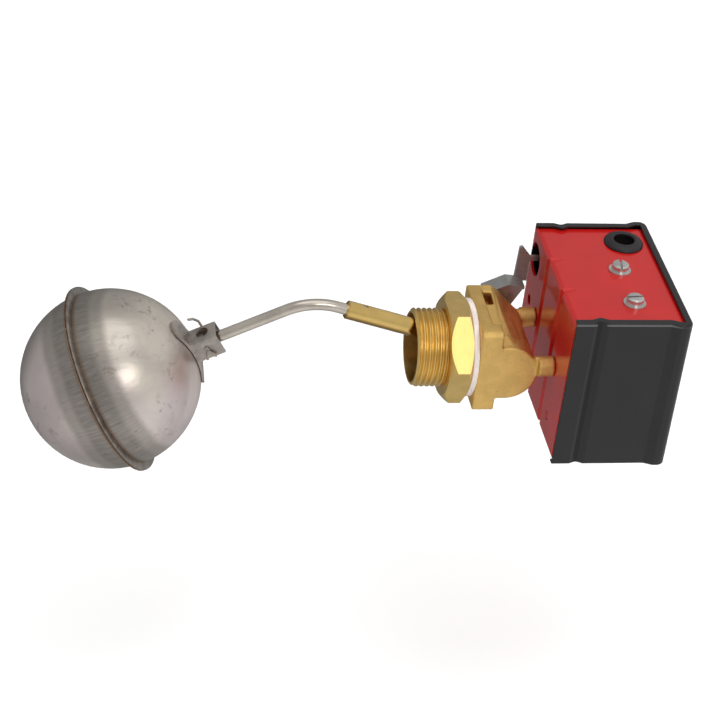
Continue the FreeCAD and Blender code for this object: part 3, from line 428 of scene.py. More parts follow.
def gloss_red(name, tone):
    """Stoved gloss paint with a faint ripple and dust."""
    f = Finish(name)
    ripple = f.noise(420, 2, 0.5)
    cloud = f.noise(45, 2, 0.5)
    dust = f.step(f.noise(2300, 1, 0.5), 0.70, 0.80)
    base = f.mix(f.step(cloud, 0.3, 0.7), rgba(tone, 0.93), rgba(tone, 1.05))
    base = f.mix(dust * 0.25, base, rgba((0.75, 0.16, 0.13)))
    rough = f.span(cloud, 0.30, 0.40) + dust * 0.1
    normal = f.bump(ripple, 0.000012)
    return f.surface(Base_Color=base, Roughness=rough, Normal=normal, Coat_Weight=1.0,
                     Coat_Roughness=0.07, Coat_IOR=1.45, Specular_IOR_Level=0.1)


def satin_black(name, tone):
    """Satin powder coat: fine leathery grain, and a painted highlight line under the top edge of its
    sides.
    """
    f = Finish(name)
    grain = f.noise(1900, 2, 0.6)
    cloud = f.noise(60, 3, 0.5)
    dust = f.step(f.noise(2600, 1, 0.5), 0.69, 0.80)
    base = f.mix(f.step(cloud, 0.3, 0.7), rgba(tone, 0.82), rgba(tone, 1.04))
    base = f.mix(dust * 0.20, base, rgba((0.12, 0.12, 0.125)))
    x, y, z = f.split(f.place)
    # painted highlight: a lighter line just under the top edge on the cover's sides, broken up by cloud
    # noise
    rim_highlight = f.step(f.unsigned(z - RIM_Z), 0.0006, 0.0002)
    rim_highlight = rim_highlight * f.step(f.unsigned(y), FLAT_Y, FLAT_Y + 0.0004) * f.step(cloud, 0.25, 0.45)
    base = f.mix(rim_highlight * 0.5, base, rgba((0.20, 0.20, 0.205)))
    crease = f.step(f.unsigned(x - CREASE_X), 0.0014, 0.0008)
    crease = crease * f.step(f.unsigned(y), FLAT_Y - 0.0014, FLAT_Y - 0.0010)
    rough = f.span(grain * 0.5 + cloud * 0.5, 0.32, 0.46)
    normal = f.bump(grain, 0.000016)
    return f.surface(Base_Color=base, Roughness=rough, Normal=normal, Coat_Weight=(1 - crease) * 0.4,
                     Coat_Roughness=0.14, Specular_IOR_Level=0.3)


def moulded(name, tone, low, high, grain_scale=1600):
    """Rubber or plastic straight from its mould, with a roughness from low to high."""
    f = Finish(name)
    grain = f.noise(grain_scale, 3, 0.6)
    cloud = f.noise(130, 3, 0.5)
    base = f.mix(f.step(cloud, 0.3, 0.7), rgba(tone, 0.90), rgba(tone, 1.12))
    rough = f.span(grain * 0.4 + cloud * 0.6, low, high)
    normal = f.bump(grain, 0.00002)
    return f.surface(Base_Color=base, Roughness=rough, Normal=normal)


def floor_white(name):
    """Matt white of the studio floor."""
    f = Finish(name)
    cloud = f.noise(3, 2, 0.5)
    base = f.mix(cloud, rgba((0.93, 0.93, 0.93)), rgba((0.96, 0.96, 0.96)))
    return f.surface(Base_Color=base, Roughness=0.9)


FINISH_MAKERS = {
    "cast_brass": lambda name, c: cast_brass(name, c.cast_brass),
    "turned_brass": lambda name, c: turned_brass(name, c.turned_brass, 2400, 0.26, 0.40),
    "polished_brass": lambda name, c: turned_brass(name, c.turned_brass, 900, 0.08, 0.15, True),
    "stainless_ball": lambda name, c: ball_steel(name, c.stainless, c.heat_tint),
    "stainless_seam": lambda name, c: seam_steel(name, c.heat_tint),
    "stainless_strip": lambda name, c: sheet_steel(name, c.stainless),
    "bar_steel": lambda name, c: bar_steel(name, c.bar_steel),
    "zinc_plate": lambda name, c: zinc_plate(name, c.zinc),
    "zinc_dull": lambda name, c: zinc_plate(name, Vector(c.zinc) * 0.62, 0.88),
    "zinc_painted": lambda name, c: zinc_plate(name, c.zinc, 0.94, c.red_paint),
    "gloss_red": lambda name, c: gloss_red(name, c.red_paint),
    "satin_black": lambda name, c: satin_black(name, c.black_paint),
    "rubber": lambda name, c: moulded(name, c.rubber, 0.38, 0.52),
    "sealing_ring": lambda name, c: moulded(name, c.ring_white, 0.42, 0.55, 900),
    "case_plastic": lambda name, c: moulded(name, c.case_black, 0.35, 0.5),
    "button_plastic": lambda name, c: moulded(name, c.button_red, 0.3, 0.4),
    "floor_white": lambda name, c: floor_white(name),
}
FINISHES = {}


def finish(name):
    """The material of that name, made on first use from the scene's colours."""
    if name not in FINISHES:
        FINISHES[name] = FINISH_MAKERS[name](name, bpy.context.scene.float_switch_colours)
    return FINISHES[name]


# ---- meshes ------------------------------------------------------------------
def linked(name, data):
    """A new object in the scene."""
    made = bpy.data.objects.new(name, data)
    bpy.context.scene.collection.objects.link(made)
    return made


def mesh_of(work, name):
    """Ends work on a mesh and gives it its name."""
    mesh = bpy.data.meshes.new(name)
    work.to_mesh(mesh)
    work.free()
    return mesh


def new_piece(name, mesh, material, body, replaced=()):
    """Links a finished mesh as a piece that rides on a body."""
    mesh.name = name
    piece = linked(name, mesh)
    mesh.materials.clear()
    mesh.materials.append(material)
    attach(piece, body)
    if replaced:
        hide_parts(*replaced)
    return piece


def smooth(mesh, degrees):
    """Smooth shading, kept sharp over edges of more than the angle."""
    mesh.shade_smooth()
    mesh.set_sharp_from_angle(angle=math.radians(degrees))
    return mesh


def merged_copy(node):
    """Copy of a CAD node's mesh with its loose triangles joined."""
    work = bmesh.new()
    work.from_mesh(NODES[node].data)
    bmesh.ops.remove_doubles(work, verts=work.verts, dist=0.000002)
    return work


def plain_mesh(piece):
    """Evaluated mesh of an object, with nothing live left on it."""
    graph = bpy.context.evaluated_depsgraph_get()
    return bpy.data.meshes.new_from_object(piece.evaluated_get(graph))


def through_modifiers(mesh, steps):
    """Runs a mesh through modifiers, given as (type, settings), and returns the result."""
    holder = linked("holder", mesh)
    for kind, settings in steps:
        modifier = holder.modifiers.new(kind.title(), kind)
        for key, value in settings.items():
            setattr(modifier, key, value)
    result = plain_mesh(holder)
    bpy.data.objects.remove(holder)
    return result


def skin(node, material, body, edge=0.0, sharp=35.0):
    """Stand-in for a CAD node with evened shading, its sharp edges rounded by edge."""
    work = merged_copy(node)
    bmesh.ops.dissolve_limit(work, angle_limit=math.radians(0.4), verts=work.verts, edges=work.edges)
    mesh = mesh_of(work, node + "_skin")
    steps = [("WEIGHTED_NORMAL", {"mode": "FACE_AREA", "weight": 100, "keep_sharp": True})]
    if edge > 0:
        steps.insert(0, ("BEVEL", {"width": edge, "segments": 2, "limit_method": "ANGLE",
                                   "angle_limit": math.radians(32), "use_clamp_overlap": True,
                                   "harden_normals": False}))
    mesh = through_modifiers(smooth(mesh, sharp), steps)
    return new_piece(node + "_skin", mesh, finish(material), body, (node,))


def dress(node, material):
    """Gives a shown CAD node its finish without touching its mesh."""
    piece = NODES[node]
    if not piece.data.materials:
        piece.data.materials.append(finish(material))
    for slot in piece.material_slots:
        slot.link = "OBJECT"
        slot.material = finish(material)


def lathe(profile, sides, centre, turn, wobble=None, sharp=50.0):
    """Closed solid of revolution about local X; profile is (x, radius) pairs in metres."""
    work = bmesh.new()
    rings = []
    for x, radius in profile:
        if radius < 1e-7:
            rings.append([work.verts.new((x, 0, 0))])
            continue
        ring = []
        for k in range(sides):
            angle = 2 * math.pi * k / sides
            reach = radius + (wobble(x, angle) if wobble else 0.0)
            ring.append(work.verts.new((x, reach * math.cos(angle), reach * math.sin(angle))))
        rings.append(ring)
    closed = len(rings[0]) > 1
    count = len(rings) if closed else len(rings) - 1
    for i in range(count):
        a, b = rings[i], rings[(i + 1) % len(rings)]
        for k in range(sides):
            m = (k + 1) % sides
            corners = [a[k % len(a)], a[m % len(a)], b[m % len(b)], b[k % len(b)]]
            work.faces.new(list(dict.fromkeys(corners)))
    bmesh.ops.recalc_face_normals(work, faces=work.faces)
    work.transform(Matrix.Translation(centre) @ turn.to_4x4())
    return smooth(mesh_of(work, "lathe"), sharp)


def joined_mesh(name, meshes):
    """One mesh from several closed shells."""
    work = bmesh.new()
    for mesh in meshes:
        work.from_mesh(mesh)
    return mesh_of(work, name)


# ---- geometry node trees -----------------------------------------------------
class Growth(Graph):
    """A geometry node tree with named inputs."""

    def __init__(self, name, inputs):
        group = bpy.data.node_groups.new(name, "GeometryNodeTree")
        super().__init__(group)
        group.interface.new_socket("Geometry", in_out="INPUT", socket_type="NodeSocketGeometry")
        for title, kind in inputs:
            group.interface.new_socket(title, in_out="INPUT", socket_type="NodeSocket" + kind)
        group.interface.new_socket("Geometry", in_out="OUTPUT", socket_type="NodeSocketGeometry")
        self.start = self.node("NodeGroupInput")

    def given(self, title):
        return self.out(self.start, title)

    def attribute(self, name, kind):
        made = self.node("GeometryNodeInputNamedAttribute", {"data_type": kind}, {"Name": name})
        return self.out(made)

    def finish(self, geometry):
        """Ends the tree as the export needs it: real geometry with its material set."""
        real = self.node("GeometryNodeRealizeInstances", None, {0: geometry})
        coated = self.node("GeometryNodeSetMaterial", None,
                           {"Geometry": self.out(real), "Material": self.given("Material")})
        end = self.node("NodeGroupOutput")
        self.tree.links.new(coated.outputs[0], end.inputs[0])

    def grow(self, mesh, values):
        """Runs the tree on a mesh with its inputs set, and returns a plain mesh."""
        holder = linked("holder", mesh)
        modifier = holder.modifiers.new("Growth", "NODES")
        modifier.node_group = self.tree
        for item in self.tree.interface.items_tree:
            if item.item_type == "SOCKET" and item.in_out == "INPUT" and item.name in values:
                modifier[item.identifier] = values[item.name]
        result = plain_mesh(holder)
        bpy.data.objects.remove(holder)
        return result


def thread_wave(g, height, angle, pitch):
    """0 at a crest and 1 at a root of a right-hand thread, rounded at both."""
    phase = g.math("FRACT", height / pitch + angle / (2 * math.pi))
    tri = g.unsigned(phase * 2.0 - 1.0)
    return g.step(tri, 0.12, 0.90)


def threaded_bar():
    """Thread cut on a bar that stands on z = 0 and reaches to its length."""
    g = Growth("Threaded Bar", [("Radius", "Float"), ("Length", "Float"), ("Pitch", "Float"),
                                ("Depth", "Float"), ("Chamfer", "Float"), ("Relief", "Float"),
                                ("Bore", "Float"), ("Sides", "Int"), ("Rows", "Int"),
                                ("Material", "Material")])
    radius, reach, depth = g.given("Radius"), g.given("Length"), g.given("Depth")
    bar = g.node("GeometryNodeMeshCylinder", {"fill_type": "NGON"},
                 {"Vertices": g.given("Sides"), "Side Segments": g.given("Rows"),
                  "Radius": radius, "Depth": reach})
    place = g.out(g.node("GeometryNodeInputPosition"))
    x, y, z = g.split(place)
    height = z + reach / 2
    angle = g.math("ARCTAN2", y, x)
    wave = thread_wave(g, height, angle, g.given("Pitch"))
    relief = 1 - g.step(height, g.given("Relief") * 0.6, g.given("Relief"))
    cut = g.math("MAXIMUM", wave, relief) * depth
    lead = g.math("MAXIMUM", g.given("Chamfer") - (reach - height), 0.0)
    inner = g.math("MINIMUM", radius - cut, radius - lead)
    scale = inner / radius
    moved = g.node("GeometryNodeSetPosition", None,
                   {"Geometry": g.out(bar, "Mesh"), "Position": g.join(x * scale, y * scale, height)})
    tool = g.node("GeometryNodeMeshCylinder", {"fill_type": "NGON"},
                  {"Vertices": g.given("Sides"), "Radius": g.given("Bore"), "Depth": reach * 4})
    hollow = g.node("GeometryNodeMeshBoolean", {"operation": "DIFFERENCE", "solver": "FLOAT"},
                    {"Mesh 1": g.out(moved), "Mesh 2": g.out(tool, "Mesh")})
    bored = g.node("GeometryNodeSwitch", {"input_type": "GEOMETRY"},
                   {"Switch": g.out(g.node("FunctionNodeCompare", {"operation": "GREATER_THAN"},
                                           {0: g.given("Bore"), 1: 0.000001})),
                    "False": g.out(moved), "True": g.out(hollow)})
    g.finish(g.out(bored))
    return g


def slotted_heads():
    """Cheese heads with a slot, one on each point, along the point's own axis."""
    g = Growth("Slotted Heads", [("Head Radius", "Float"), ("Head Height", "Float"),
                                 ("Slot Width", "Float"), ("Slot Depth", "Float"),
                                 ("Material", "Material")])
    radius, height = g.given("Head Radius"), g.given("Head Height")
    rim = height * 0.30
    drum = g.node("GeometryNodeMeshCylinder", {"fill_type": "NGON"},
                  {"Vertices": 72, "Side Segments": 24, "Radius": radius, "Depth": height})
    place = g.out(g.node("GeometryNodeInputPosition"))
    x, y, z = g.split(place)
    up = z + height / 2
    turned = g.math("MAXIMUM", (up - (height - rim)) / rim, 0.0)
    inset = (1 - g.math("SQRT", g.math("MAXIMUM", 1 - turned * turned, 0.0))) * rim
    scale = (radius - inset) / radius
    head = g.node("GeometryNodeSetPosition", None,
                  {"Geometry": g.out(drum, "Mesh"), "Position": g.join(x * scale, y * scale, up)})
    slot = g.node("GeometryNodeMeshCube", None,
                  {"Size": g.join(radius * 3, g.given("Slot Width"), g.given("Slot Depth") * 2)})
    slot = g.node("GeometryNodeTransform", None,
                  {"Geometry": g.out(slot, "Mesh"), "Translation": g.join(0.0, 0.0, height)})
    cut = g.node("GeometryNodeMeshBoolean", {"operation": "DIFFERENCE", "solver": "EXACT"},
                 {"Mesh 1": g.out(head), "Mesh 2": g.out(slot)})
    axis = g.attribute("axis", "FLOAT_VECTOR")
    turn = g.attribute("turn", "FLOAT")
    spin = g.node("FunctionNodeEulerToRotation", None, {0: g.join(0.0, 0.0, turn)})
    lean = g.node("FunctionNodeAlignRotationToVector", {"axis": "Z"}, {"Vector": axis})
    both = g.node("FunctionNodeRotateRotation", {"rotation_space": "LOCAL"},
                  {0: g.out(lean), 1: g.out(spin)})
    placed = g.node("GeometryNodeInstanceOnPoints", None,
                    {"Points": g.given("Geometry"), "Instance": g.out(cut), "Rotation": g.out(both)})
    g.finish(g.out(placed))
    return g


TREES = {}


def tree(maker):
    """A node tree, built on first use."""
    if maker not in TREES:
        TREES[maker] = maker()
    return TREES[maker]


def threaded(sizes, turn, place):
    """Threaded bar as a plain mesh, set down with its foot at place and its Z turned."""
    mesh = tree(threaded_bar).grow(bpy.data.meshes.new("seed"), sizes)
    mesh.transform(Matrix.Translation(place) @ turn.to_4x4())
    return mesh


# ---- operators ---------------------------------------------------------------
# Section of the rolled lip, from its foot on the rod's side over both crests and the
# groove between them: across in half widths, and up in shares of its rise.
LIP = ((1.0, -0.9), (1.0, 0.25), (0.94, 0.55), (0.80, 0.80), (0.55, 0.95), (0.25, 0.985),
       (0.02, 0.90), (-0.10, 0.80), (-0.22, 0.80), (-0.36, 0.92), (-0.60, 0.965),
       (-0.85, 0.86), (-0.97, 0.62), (-1.0, 0.3), (-1.0, -0.9))


def half_shell(way):
    """Profile of half the float: from the pole to the rim outside, and back inside."""
    angles = [math.pi / 2 * i / SHELL_STEPS for i in range(SHELL_STEPS + 1)]
    inner = BALL_R - BALL_WALL
    outside = [(way * BALL_R * math.sin(a), BALL_R * math.cos(a)) for a in reversed(angles)]
    return outside + [(way * inner * math.sin(a), inner * math.cos(a)) for a in angles]


def hand_rolled(x, angle):
    """What a hand-rolled lip lacks in radius at an angle round the ball, the same at every x."""
    return -0.00005 * (1 + math.sin(angle * 7 + 1.3) * math.sin(angle * 3.1))


class FLOATSWITCH_OT_ball(bpy.types.Operator):
    """Spun halves of the float and the rolled seam between them"""
    bl_idname = "float_switch.ball"
    bl_label = "Float Ball"

    def execute(self, context):
        sizes = context.scene.float_switch_sizes
        for node, way in (("float_shell_near", 1), ("float_shell_far", -1)):
            mesh = lathe(half_shell(way), 160, BALL_CENTRE, BALL_TURN)
            new_piece(node + "_skin", mesh, finish("stainless_ball"), "float_arm", (node,))
        half, rise = sizes.seam_half, sizes.seam_rise
        profile = [(half * u, BALL_R + rise * v * (1 if v > 0 else 0.5)) for u, v in LIP]
        mesh = lathe(profile, 220, BALL_CENTRE, BALL_TURN, hand_rolled)
        new_piece("float_seam_skin", mesh, finish("stainless_seam"), "float_arm",
                  ("float_seam",))
        return {"FINISHED"}


class FLOATSWITCH_OT_bracket(bpy.types.Operator):
    """Folded bracket on the ball and its split pin"""
    bl_idname = "float_switch.bracket"
    bl_label = "Float Bracket"

    def execute(self, context):
        edge = context.scene.float_switch_sizes.sheet_round
        skin("float_bracket", "stainless_strip", "float_arm", edge)
        skin("float_split_pin", "stainless_strip", "float_arm")
        return {"FINISHED"}


class FLOATSWITCH_OT_arm(bpy.types.Operator):
    """Bent rod, brass sleeve with its pin, hub and cross shaft"""
    bl_idname = "float_switch.arm"
    bl_label = "Float Arm"

    def execute(self, context):
        skin("float_rod", "bar_steel", "float_arm")
        skin("arm_sleeve", "polished_brass", "float_arm")
        skin("sleeve_pin", "bar_steel", "float_arm")
        skin("arm_hub", "turned_brass", "float_arm")
        skin("pivot_shaft", "bar_steel", "float_arm")
        return {"FINISHED"}


class FLOATSWITCH_OT_nipple(bpy.types.Operator):
    """Threaded nipple with its hexagon, and the sealing ring behind it"""
    bl_idname = "float_switch.nipple"
    bl_label = "Tank Nipple"

    def execute(self, context):
        sizes = context.scene.float_switch_sizes
        work = merged_copy("thread_nipple")
        cut = 0.00002               # the hexagon is kept from a hair behind its shoulder
        bmesh.ops.bisect_plane(work, geom=work.verts[:] + work.edges[:] + work.faces[:],
                               plane_co=(cut, 0, 0), plane_no=(-1, 0, 0), clear_outer=True)
        rim = [e for e in work.edges if e.is_boundary]
        bmesh.ops.triangle_fill(work, edges=rim, use_beauty=True)
        bmesh.ops.dissolve_limit(work, angle_limit=math.radians(0.4), verts=work.verts, edges=work.edges)
        bmesh.ops.recalc_face_normals(work, faces=work.faces)
        hexagon = mesh_of(work, "hexagon")
        thread = threaded({"Radius": sizes.thread_radius, "Length": THREAD_ROOT - NIPPLE_LOW.x,
                           "Pitch": sizes.thread_pitch, "Depth": sizes.thread_depth,
                           "Chamfer": THREAD_CHAMFER, "Relief": sizes.thread_relief,
                           "Bore": sizes.bore_radius, "Sides": 192, "Rows": 130,
                           "Material": finish("turned_brass")},
                          Euler((0, -math.pi / 2, 0)).to_matrix(), (THREAD_ROOT, 0, 0))
        mesh = joined_mesh("thread_nipple_skin", [smooth(hexagon, 30), smooth(thread, 40)])
        new_piece("thread_nipple_skin", mesh, finish("turned_brass"), "housing",
                  ("thread_nipple",))
        skin("nipple_gasket", "sealing_ring", "housing", 0.0003)
        return {"FINISHED"}


def prism(name, near, far):
    """Hidden solid between two outlines of (x, z) points, each given with its y."""
    work = bmesh.new()
    rings = [[work.verts.new((x, y, z)) for x, z in outline] for y, outline in (near, far)]
    work.faces.new(rings[0])
    work.faces.new(reversed(rings[1]))
    count = len(rings[0])
    for i in range(count):
        k = (i + 1) % count
        work.faces.new((rings[0][k], rings[0][i], rings[1][i], rings[1][k]))
    bmesh.ops.recalc_face_normals(work, faces=work.faces)
    return linked(name, mesh_of(work, name))


def rectangle(left, right, low, high):
    """Outline in (x, z) of an upright rectangle."""
    return [(left, low), (left, high), (right, high), (right, low)]


def casting_tools():
    """What turns the casting's far pad into the slope that its pattern has, with its pocket."""
    front, half = CAST_LOW.x, CAST_HIGH.z
    inset = front + 0.001           # the tools start inside the flange
    plate = front + 0.0058          # back of the flange
    level = front + 0.0106          # back of the far pad
    near_y = -0.0110                # where the flange's thick near side ends
    thin_y = (-0.0090, 0.0170)      # the flange's thin stretch
    crown, root = 0.0117, 0.0063    # top of the barrel, and a height inside it
    middle_x = 0.0251               # axis of the barrel's outside
    knee, foot = (0.0264, 0.0164), (0.0316, 0.0103)
    dip = 0.0004                    # the slope runs out this far under the barrel's skin
    roof = 0.025                    # clear above the casting
    sunk = [(level, crown), (knee[0], crown), (foot[0] - dip, foot[1] - dip)]
    high = [(level, half), knee, foot]

    def wedge(crest, line):
        return [(inset, root), (inset, crest)] + line + [(middle_x, root)]

    def above(line):
        end = line[2][0] + 0.004
        return [(plate, line[0][1])] + line + [(end, line[2][1]), (end, roof), (plate, roof)]

    share = (near_y + half) / (2 * half)
    start = [(a[0] + (b[0] - a[0]) * share, a[1] + (b[1] - a[1]) * share) for a, b in zip(sunk, high)]
    slab = rectangle(inset, plate, root, half)
    hole = rectangle(POCKET[0] - POCKET_HALF[0], POCKET[0] + POCKET_HALF[0], POCKET_FLOOR, roof)
    slope = prism("slope", (-half, wedge(crown, sunk)), (half - 0.0002, wedge(half, high)))
    trim = prism("trim", (near_y, above(start)), (half, above(high)))
    infill = prism("infill", (thin_y[0], slab), (thin_y[1], slab))
    pocket = prism("pocket", (POCKET[1] - POCKET_HALF[1], hole), (POCKET[1] + POCKET_HALF[1], hole))
    return ("UNION", slope), ("DIFFERENCE", trim), ("UNION", infill), ("DIFFERENCE", pocket)


class FLOATSWITCH_OT_casting(bpy.types.Operator):
    """Sand-cast pivot body with its bush"""
    bl_idname = "float_switch.casting"
    bl_label = "Pivot Body"

    def execute(self, context):
        voxel = context.scene.float_switch_sizes.casting_round
        mesh = mesh_of(merged_copy("pivot_body"), "casting")
        tools = casting_tools()
        steps = [("BOOLEAN", {"operation": way, "solver": "EXACT", "object": tool}) for way, tool in tools]
        steps.append(("REMESH", {"mode": "VOXEL", "voxel_size": voxel, "adaptivity": 0.0}))
        steps.append(("SMOOTH", {"factor": 0.5, "iterations": 5}))
        mesh = through_modifiers(mesh, steps)
        for way, tool in tools:
            bpy.data.objects.remove(tool)
        new_piece("pivot_body_skin", smooth(mesh, 60), finish("cast_brass"), "housing",
                  ("pivot_body",))
        skin("shaft_bush", "turned_brass", "housing")
        for node in ("shaft_seal_1", "shaft_seal_2"):
            dress(node, "rubber")
        return {"FINISHED"}


class FLOATSWITCH_OT_lever(bpy.types.Operator):
    """Folded trip lever with its washer and nut"""
    bl_idname = "float_switch.lever"
    bl_label = "Trip Lever"

    def execute(self, context):
        edge = context.scene.float_switch_sizes.sheet_round
        for node in ("trip_lever", "lever_washer", "lever_nut"):
            skin(node, "zinc_dull", "float_arm", edge)
        return {"FINISHED"}


class FLOATSWITCH_OT_base(bpy.types.Operator):
    """Red channel that carries the switch"""
    bl_idname = "float_switch.base"
    bl_label = "Base Plate"

    def execute(self, context):
        edge = context.scene.float_switch_sizes.sheet_round
        skin("base_plate", "gloss_red", "housing", edge)
        return {"FINISHED"}


class FLOATSWITCH_OT_cover(bpy.types.Operator):
    """Black cover with its creases and turned-in lips"""
    bl_idname = "float_switch.cover"
    bl_label = "Cover"

    def execute(self, context):
        edge = context.scene.float_switch_sizes.sheet_round
        skin("cover", "satin_black", "housing", edge)
        return {"FINISHED"}


class FLOATSWITCH_OT_grommet(bpy.types.Operator):
    """Rubber ring of the cable entry"""
    bl_idname = "float_switch.grommet"
    bl_label = "Cable Grommet"

    def execute(self, context):
        skin("cable_grommet", "rubber", "housing")
        return {"FINISHED"}


# Each screw, the way its head faces, and how far its slot is turned in degrees.
SCREWS = (
    ("switch_screw_1", (0, 0, 1), 4.0),
    ("switch_screw_2", (0, 0, 1), 82.0),
    ("body_screw_1", (1, 0, 0), 35.0),
    ("body_screw_2", (1, 0, 0), 35.0),
    ("terminal_screw_1", (1, 0, 0), 20.0),
    ("terminal_screw_2", (1, 0, 0), 75.0),
    ("terminal_screw_3", (1, 0, 0), 130.0),
    ("cover_screw", (1, 0, 0), 15.0),
    ("earth_screw", (1, 0, 0), -25.0),
)


class FLOATSWITCH_OT_screws(bpy.types.Operator):
    """Slotted screws with their threads, washers and nuts"""
    bl_idname = "float_switch.screws"
    bl_label = "Screws"

    def execute(self, context):
        pitch = context.scene.float_switch_sizes.screw_pitch
        for node in ("switch_washer_1", "switch_washer_2", "switch_nut_1", "switch_nut_2", "cover_post"):
            skin(node, "zinc_plate", "housing")
        for node, way, slot_turn in SCREWS:
            self.screw(node, Vector(way), math.radians(slot_turn), pitch)
        return {"FINISHED"}

    def screw(self, node, out, slot_turn, pitch):
        """One slotted screw on the axis of its CAD node, its head towards out."""
        low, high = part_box(node)
        centre = (low + high) / 2
        top = centre + out * abs((high - low).dot(out)) / 2
        offsets = node_points(node) - np.array(top)
        depth = -(offsets @ np.array(out))
        radii = np.linalg.norm(np.cross(offsets, np.array(out)), axis=1)
        head_r = float(radii.max())
        head_h = float(depth[radii > head_r * 0.96].max())
        shank_r = float(radii[depth > head_h + pitch].max())
        seat = top - out * head_h
        reach = abs((high - low).dot(out)) - head_h
        seed = bpy.data.meshes.new("seat")
        seed.from_pydata([seat], [], [])
        seed.attributes.new("axis", "FLOAT_VECTOR", "POINT").data[0].vector = out
        seed.attributes.new("turn", "FLOAT", "POINT").data[0].value = slot_turn
        material = finish("zinc_painted" if low.x < WEB_X + 0.0004 else "zinc_plate")
        head = tree(slotted_heads).grow(seed, {"Head Radius": head_r, "Head Height": head_h,
                                               "Slot Width": SLOT_WIDTH, "Slot Depth": head_h * 0.55,
                                               "Material": material})
        turn = (-out).to_track_quat("Z", "Y").to_matrix()
        rows = max(12, int(reach / pitch * 9))
        shank = threaded({"Radius": shank_r, "Length": reach, "Pitch": pitch, "Depth": pitch * 0.5,
                          "Chamfer": pitch * 0.7, "Relief": 0.0, "Bore": 0.0, "Sides": 40,
                          "Rows": rows, "Material": material}, turn, seat)
        mesh = joined_mesh(node + "_skin", [smooth(head, 32), smooth(shank, 40)])
        new_piece(node + "_skin", mesh, material, "housing", (node,))


class FLOATSWITCH_OT_switch(bpy.types.Operator):
    """Snap switch with its plunger, leaf and terminals"""
    bl_idname = "float_switch.switch"
    bl_label = "Snap Switch"

    def execute(self, context):
        skin("switch_case", "case_plastic", "housing")
        skin("switch_plunger", "button_plastic", "switch_button")
        skin("switch_leaf", "zinc_plate", "switch_leaf_body")
        skin("leaf_pin", "bar_steel", "housing")
        for node in ("terminal_1", "terminal_2", "terminal_3"):
            skin(node, "turned_brass", "housing")
        return {"FINISHED"}


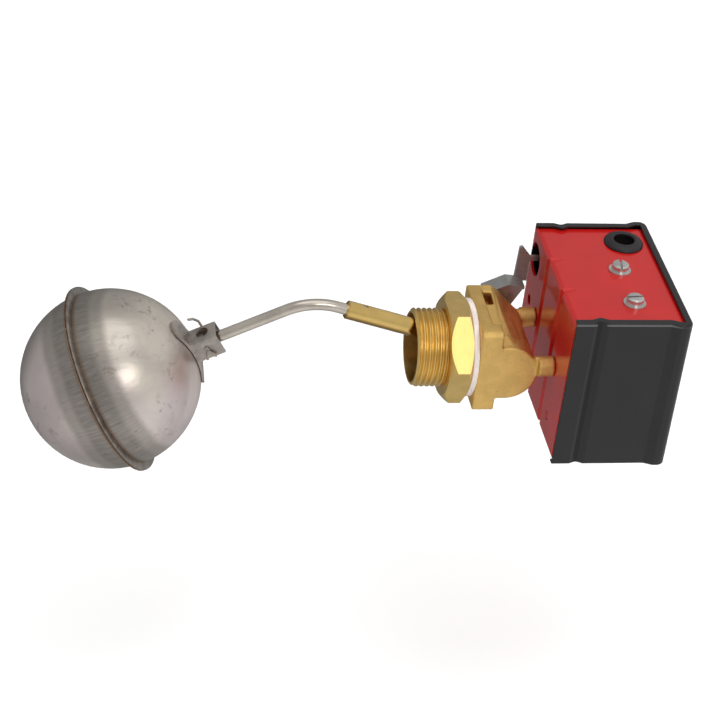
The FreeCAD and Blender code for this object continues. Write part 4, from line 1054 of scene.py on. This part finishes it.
class FLOATSWITCH_OT_stage(bpy.types.Operator):
    """Pale floor, soft lights and the camera"""
    bl_idname = "float_switch.stage"
    bl_label = "Stage"

    def execute(self, context):
        drop = context.scene.float_switch_sizes.floor_drop
        work = bmesh.new()
        bmesh.ops.create_grid(work, x_segments=4, y_segments=4, size=4.0)
        work.transform(Matrix.Translation((0, 0, -drop)))
        floor = linked("pale_floor", mesh_of(work, "pale_floor"))
        floor.data.materials.append(finish("floor_white"))
        floor.visible_glossy = False
        self.sky()
        self.camera(context)
        context.scene.view_settings.view_transform = "Standard"
        self.softbox((0.20, -0.88, 0.66), 0.42, 1.2)
        self.overhead((0.12, -0.30, 0.95), 2.1)
        return {"FINISHED"}

    def sky(self):
        """The pale room that metal mirrors: lighter at the sides and above, darker behind."""
        world = bpy.data.worlds.new("studio")
        bpy.context.scene.world = world
        world.use_nodes = True
        g = Graph(world.node_tree)
        g.tree.nodes.clear()
        x, y, z = g.split(g.out(g.node("ShaderNodeTexCoord"), "Generated"))
        right = g.step(x, 0.0, 0.9) * 0.27
        left = g.step(x, -0.25, -0.9) * 0.10
        front = g.step(y, -0.25, -0.8) * g.step(z, 0.3, -0.4) * 0.26
        below = g.step(y, 0.1, -0.3) * g.step(z, -0.35, -0.75) * 0.10
        behind = g.step(y, 0.50, 0.82) * g.step(z, 0.25, -0.3) * 0.20
        ceiling = g.step(z, 0.84, 0.96) * 0.66
        window = g.step(x * 0.14 - y * 0.62 + z * 0.77, 0.90, 0.99) * 0.30
        light = right + left + front + below + ceiling + window - behind + 0.37
        glow = g.node("ShaderNodeBackground", None, {"Color": (1.0, 1.0, 1.0, 1.0), "Strength": light})
        end = g.node("ShaderNodeOutputWorld")
        g.tree.links.new(glow.outputs[0], end.inputs["Surface"])

    def camera(self, context):
        """Long lens from the front left, looking down on the switch."""
        lens = bpy.data.cameras.new("camera")
        lens.sensor_width = 36.0
        lens.lens = 115.0
        lens.clip_start = 0.01
        camera = linked("camera", lens)
        right = Vector((0.98326, -0.15043, 0.10281)).normalized()
        back = Vector((-0.1822, -0.80823, 0.55997)).normalized()
        up = back.cross(right).normalized()
        turn = Matrix((right, up, back)).transposed().to_4x4()
        camera.matrix_world = Matrix.Translation((-0.21025, -0.78143, 0.53478)) @ turn
        context.scene.camera = camera

    def lamp(self, light, place):
        """Hangs a lamp at the place, aimed at the middle of the part."""
        lamp = linked(light.name, light)
        lamp.location = place
        aim = Vector((-0.02, 0.0, 0.0)) - Vector(place)
        lamp.rotation_euler = aim.to_track_quat("-Z", "Y").to_euler()
        return lamp

    def softbox(self, place, wide, power):
        """A square lamp that leaves a soft patch on polished metal."""
        light = bpy.data.lights.new("softbox", "AREA")
        light.shape = "SQUARE"
        light.size = wide
        light.energy = power
        light.color = (1.0, 0.97, 0.92)
        self.lamp(light, place)

    def overhead(self, place, power):
        """Even light from a whole ceiling, which polished metal doesn't mirror."""
        light = bpy.data.lights.new("overhead", "SUN")
        light.angle = math.radians(70)
        light.energy = power
        self.lamp(light, place).visible_glossy = False


class FLOATSWITCH_PT_sidebar(bpy.types.Panel):
    """Sizes, colours and makers of the float switch"""
    bl_label = "Float Level Switch"
    bl_idname = "FLOATSWITCH_PT_sidebar"
    bl_space_type = "VIEW_3D"
    bl_region_type = "UI"
    bl_category = "Float Switch"

    def draw(self, context):
        for title, group in (("Sizes", context.scene.float_switch_sizes),
                             ("Colours", context.scene.float_switch_colours)):
            box = self.layout.box()
            box.label(text=title)
            for key in group.__annotations__:
                box.prop(group, key)
        for maker in OPERATORS:
            self.layout.operator(maker.bl_idname)


OPERATORS = (
    FLOATSWITCH_OT_ball, FLOATSWITCH_OT_bracket, FLOATSWITCH_OT_arm, FLOATSWITCH_OT_nipple,
    FLOATSWITCH_OT_casting, FLOATSWITCH_OT_lever, FLOATSWITCH_OT_base, FLOATSWITCH_OT_cover,
    FLOATSWITCH_OT_grommet, FLOATSWITCH_OT_screws, FLOATSWITCH_OT_switch, FLOATSWITCH_OT_stage,
)
CLASSES = (FloatSwitchSizes, FloatSwitchColours, FLOATSWITCH_PT_sidebar) + OPERATORS


def register():
    for entry in CLASSES:
        bpy.utils.register_class(entry)
    bpy.types.Scene.float_switch_sizes = bpy.props.PointerProperty(type=FloatSwitchSizes)
    bpy.types.Scene.float_switch_colours = bpy.props.PointerProperty(type=FloatSwitchColours)


def unregister():
    del bpy.types.Scene.float_switch_colours
    del bpy.types.Scene.float_switch_sizes
    for entry in reversed(CLASSES):
        bpy.utils.unregister_class(entry)


def main():
    """Makes every piece and the stage."""
    register()
    bpy.ops.float_switch.ball()
    bpy.ops.float_switch.bracket()
    bpy.ops.float_switch.arm()
    bpy.ops.float_switch.nipple()
    bpy.ops.float_switch.casting()
    bpy.ops.float_switch.lever()
    bpy.ops.float_switch.base()
    bpy.ops.float_switch.cover()
    bpy.ops.float_switch.grommet()
    bpy.ops.float_switch.screws()
    bpy.ops.float_switch.switch()
    bpy.ops.float_switch.stage()


if __name__ == "__main__":
    main()
